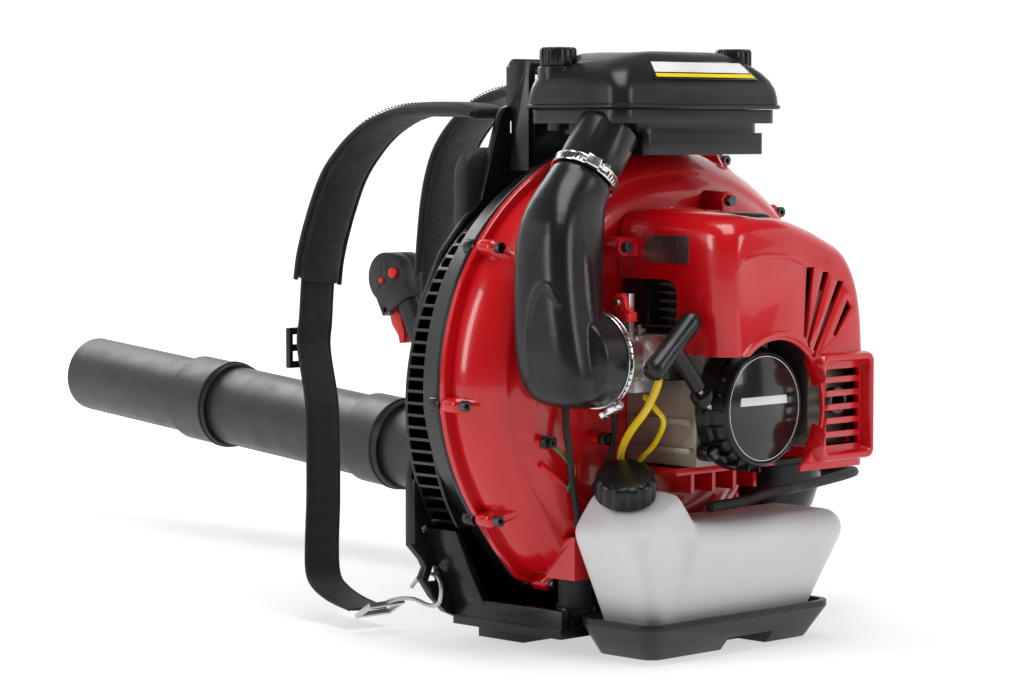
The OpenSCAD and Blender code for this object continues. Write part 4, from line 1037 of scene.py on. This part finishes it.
# ---------- soft straps ----------
def ribbon(name, route, width, thick, out, n=5, crown=0.0, sides=9):
    """A strap along a route: width across X, thickness along its own normal, sides rounded."""
    path = spline(route, n)
    rings = []
    for i, p in enumerate(path):
        d = unit(path[min(i + 1, len(path) - 1)] - path[max(i - 1, 0)])
        across = unit(Vector(out) - d * Vector(out).dot(d))
        normal = d.cross(across)
        u = i / (len(path) - 1)
        w = width(u) if callable(width) else width
        h = thick(u) if callable(thick) else thick
        ring = []
        for k in range(sides):
            s = -1 + 2 * k / (sides - 1)
            ring.append(p + across * (w / 2) * s + normal * (h / 2) * (1 - abs(s) ** 6) ** 0.5)
        for k in range(1, sides - 1):
            s = 1 - 2 * k / (sides - 1)
            ring.append(p + across * (w / 2) * s - normal * (h / 2) * (1 - abs(s) ** 6) ** 0.5)
        rings.append(ring)
    return loft(name, rings)


def puffed(ob, pin, size=4.5, pressure=4.0, cap=3.0, seam_shift=None):
    """Padding blown out between its seams; pin(v) says which points (mm) the seams hold."""
    modify(ob, "REMESH", mode="VOXEL", voxel_size=size * MM)
    settle(ob, 60)
    verts = ob.data.vertices
    held = [v.index for v in verts if pin(v.co / MM)]
    if seam_shift:
        for i in held:
            verts[i].co = seam_shift(verts[i].co / MM) * MM
    before = [v.co.copy() for v in verts]
    group = ob.vertex_groups.new(name="seam")
    group.add(held, 1.0, "REPLACE")
    cloth = modify(ob, "CLOTH")
    cloth.settings.use_pressure = True
    cloth.settings.uniform_pressure_force = pressure
    cloth.settings.effector_weights.gravity = 0
    cloth.settings.quality = 5
    cloth.settings.mass = 0.3
    cloth.settings.tension_stiffness = cloth.settings.compression_stiffness = 12
    cloth.settings.vertex_group_mass = "seam"
    cloth.point_cache.frame_start, cloth.point_cache.frame_end = 1, 20
    for f in range(1, 21):
        bpy.context.scene.frame_set(f)
    settle(ob, 60)
    bpy.context.scene.frame_set(1)
    for v, old in zip(ob.data.vertices, before):
        move = v.co - old
        if move.length > cap * MM:
            v.co = old + move.normalized() * cap * MM
    modify(ob, "SMOOTH", factor=0.5, iterations=2)
    modify(ob, "SUBSURF", levels=1, render_levels=1)
    settle(ob, 80)


def stitches(name, points, step, size, mat, body="unit"):
    """A row of thread ends along a route of points."""
    bits = []
    path = spline(points, 6)
    left = 0
    for a, b in zip(path, path[1:]):
        d = b - a
        while left < d.length:
            at = a + d.normalized() * left
            along = d.normalized() * size
            bits.append((at - along, at + along))
            left += step
        left -= d.length
    verts, faces = [], []
    for a, b in bits:
        d = unit(b - a)
        u = unit(d.cross(Vector((0.31, 0.17, 0.93))))
        v = d.cross(u)
        n = len(verts)
        for p, r in ((a, 0.25), ((a * 3 + b) / 4, 0.55), ((a + b * 3) / 4, 0.55), (b, 0.25)):
            verts += [p + (u * math.cos(t) + v * math.sin(t)) * r for t in (k * math.pi / 3 for k in range(6))]
        for i in range(3):
            for k in range(6):
                faces.append((n + i * 6 + k, n + i * 6 + (k + 1) % 6, n + i * 6 + 6 + (k + 1) % 6,
                              n + i * 6 + 6 + k))
        faces.append(tuple(n + k for k in range(6))[::-1])
        faces.append(tuple(n + 18 + k for k in range(6)))
    ob = raw(name, verts, faces)
    settle(ob, 60)
    piece(ob, mat, body)


LEFT_PAD = [(-60, 88, 444), (-60, 112, 448), (-61, 142, 449), (-62, 176, 448), (-63, 206, 441), (-66, 230, 429),
            (-69, 250, 412), (-73, 268, 388), (-78, 281, 352), (-83, 288, 318), (-86, 289, 294)]
LEFT_WEB = [(-84, 288.5, 312), (-86, 289, 292), (-91, 286, 261), (-95, 284, 236), (-102, 266, 190),
            (-109, 256, 146), (-116, 248, 103),
            (-123, 242, 64), (-127, 236, 40), (-129, 224, 29), (-132, 200, 21), (-139, 164, 17)]
RIGHT_PAD = [(60, 88, 444), (60, 116, 456), (60, 148, 464), (60, 182, 464), (60, 214, 454), (61, 240, 438),
             (62, 262, 416), (64, 276, 392), (67, 287, 362), (70, 295, 327), (73, 301, 298)]
RIGHT_WEB = [(72, 298.5, 316), (73, 302, 296), (75, 304, 262), (77, 302, 236), (80, 294, 190), (84, 284, 146),
             (88, 274, 103),
             (92, 266, 64), (96, 256, 40), (101, 238, 24), (111, 206, 12), (126, 166, 6)]


def edge_line(route, across, off):
    """The route moved across by a distance, and off its outer face."""
    path = [Vector(p) for p in route]
    out = []
    for i, p in enumerate(path):
        d = unit(path[min(i + 1, len(path) - 1)] - path[max(i - 1, 0)])
        side = unit(Vector((1, 0, 0)) - d * d.x)
        out.append(p + side * across - d.cross(side) * off)
    return out


def shoulder_strap(side, route, node):
    core = ribbon("core", route, 51, 11.5, (1, 0, 0), 4, sides=13)
    path = spline(route, 4)

    def at_seam(p):
        near = min(range(len(path)), key=lambda i: (path[i] - p).length)
        d = unit(path[min(near + 1, len(path) - 1)] - path[max(near - 1, 0)])
        across = abs((p - path[near]).dot(unit(Vector((1, 0, 0)) - d * d.x)))
        return across > 21.5
    puffed(core, at_seam, 4.0, 5.0, 3.0)
    core.name = node + "_cushion"
    piece(core, "pad", "unit", [node])
    for s in (-1, 1):
        pipe = hose("pipe", edge_line(route, s * 26.2, 0), 2.3, 12, 4)
        pipe.name = f"{side}_strap_piping_{'inner' if s > 0 else 'outer'}"
        piece(pipe, "pipe")
        stitches(f"{side}_strap_thread_{'inner' if s > 0 else 'outer'}", edge_line(route, s * 21.5, 5.0), 4.2,
                 1.3, "thread")


def lower_strap(side, route, node):
    band = ribbon("band", route, 38, 2.4, (1, 0, 0), 6, sides=11)
    settle(band, 50)
    band.name = node + "_band"
    piece(band, "web", "unit", [node])
    for k, s in enumerate((-1, 1)):
        bead = hose("bead", edge_line(route, s * 18.2, 0), 1.3, 8, 6)
        bead.name = f"{side}_webbing_edge_{k}"
        piece(bead, "web")


def back_cushions():
    seams = (188, 264, 340)
    for name, x0, x1 in (("left", -105, -11), ("right", 21, 115)):
        rings = [ring_xz(rounded(x0 + g, 112 + g, x1 - g, 416 - g, 22), y)
                 for y, g in ((77, 5), (80, 1), (84, 0), (91, 0), (95, 3), (97, 9))]
        core = loft("core", rings)

        def held(p):
            return p.y < 82 or any(abs(p.z - z) < 3.6 for z in seams) or min(p.x - x0, x1 - p.x, p.z - 112,
                                                                             416 - p.z) < 3

        def pull(p):
            if p.y > 84 and any(abs(p.z - z) < 3.6 for z in seams):
                return Vector((p.x, 84 + (p.y - 84) * 0.45, p.z))
            return p
        puffed(core, held, 5.0, 5.0, 3.2, pull)
        core.name = f"back_cushion_{name}"
        piece(core, "pad", "unit", ["back_pad"] if name == "left" else [])
        for k, z in enumerate(seams):
            stitches(f"back_thread_{name}_{k}", [(x0 + 6, 90.5, z), ((x0 + x1) / 2, 91.5, z),
                                                 (x1 - 6, 90.5, z)], 4, 1.3, "thread")
    panel = loft("panel", [ring_xz(rounded(-16, 118, 26, 410, 6), y) for y in (77, 83.5)])
    bevelled(panel, 1)
    panel.name = "back_mesh_panel"
    piece(panel, "web")


# ---------- flexible parts: the bellows in two halves, the grip cable along the tube, the starter cord ---
def halves(ob, point, normal):
    """Two open halves of a mesh, parted at a plane."""
    out = []
    for k in (0, 1):
        bm = bmesh.new()
        bm.from_mesh(ob.data)
        bmesh.ops.bisect_plane(bm, geom=bm.verts[:] + bm.edges[:] + bm.faces[:], plane_co=Vector(point) * MM,
                               plane_no=normal, clear_outer=k == 0, clear_inner=k == 1)
        data = bpy.data.meshes.new(f"{ob.name}_{k}")
        bm.to_mesh(data)
        bm.free()
        half = bpy.data.objects.new(f"{ob.name}_{k}", data)
        bpy.context.collection.objects.link(half)
        out.append(half)
    bpy.data.objects.remove(ob)
    return out


TUBE_AXIS = Vector((0, math.cos(math.radians(4.9)), math.sin(math.radians(4.9))))
BEND_AT = Vector((187, 165, 90))


def flexible():
    body = cad_copy("bellows", "bellows_rubber")
    bevelled(body, 0.9, 2, 24)
    rear, front = halves(body, BEND_AT, TUBE_AXIS)
    for ob in (rear, front):
        settle(ob, 30)
        piece(ob, "rubber", None)
    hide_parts("bellows")
    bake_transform(rear)
    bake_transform(front)
    near = hose("grip_cable_near", [(243, 82, 97), (245, 120, 98), (246.5, 145, 100), (247, 165, 103)], 4, 16,
                12)
    far = hose("grip_cable_far", [(247, 165, 103), (246.5, 190, 107), (245, 215, 111), (240, 270, 119),
                                  (233, 320, 126), (226, 352, 138),
                                  (212, 372, 152), (196, 381, 160)], 4, 16, 8)
    piece(near, "rubber", None, ["grip_cable"])
    piece(far, "rubber", None)
    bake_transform(near)
    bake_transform(far)
    w = unit((-0.655, 0, 0.7556))
    p0 = Vector((-27.2, -153, 179.4))
    cord = hose("starter_cord", [p0 + w * t for t in (0, 23, 46, 69, 92)], 1.9, 14, 8)
    piece(cord, "rope", None, ["starter_rope"])
    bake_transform(cord)


# ---------- tube details ----------
def tube_details():
    """Mould lines along the tubes."""
    def on_tube(s, r, t):
        u = Vector((1, 0, 0))
        v = TUBE_AXIS.cross(u)
        return BEND_AT + TUBE_AXIS * s + (u * math.cos(t) + v * math.sin(t)) * r
    for name, s0, s1, r, body in (("swivel", 100, 296, 41.5, "tube"), ("mid", 356, 566, 41.2, "mid"),
                                  ("end", 634, 812, 39.6, "end")):
        for k, t in enumerate((math.pi / 2 + 0.35, -math.pi / 2 + 0.35)):
            line = hose("line", [on_tube(s0 + (s1 - s0) * i / 6, r - 0.15, t) for i in range(7)], 0.55, 8, 2)
            line.name = f"{name}_mould_line_{k}"
            piece(line, "tube", body)


engine_cover()
air_cleaner()
intake_duct()
fuel_tank()
starter()
pull_handle()
shoulder_strap("left", LEFT_PAD, "shoulder_pad_left")
shoulder_strap("right", RIGHT_PAD, "shoulder_pad_right")
lower_strap("left", LEFT_WEB, "webbing_left")
lower_strap("right", RIGHT_WEB, "webbing_right")
back_cushions()
flexible()
tube_details()
fan_case()
small_parts()
clamps()
for node, (mat, mm) in PIECE_MATERIALS.items():
    refined(node, mat, mm)

put_camera()
put_lights()
put_floor()
bpy.context.scene.view_settings.view_transform = "Standard"
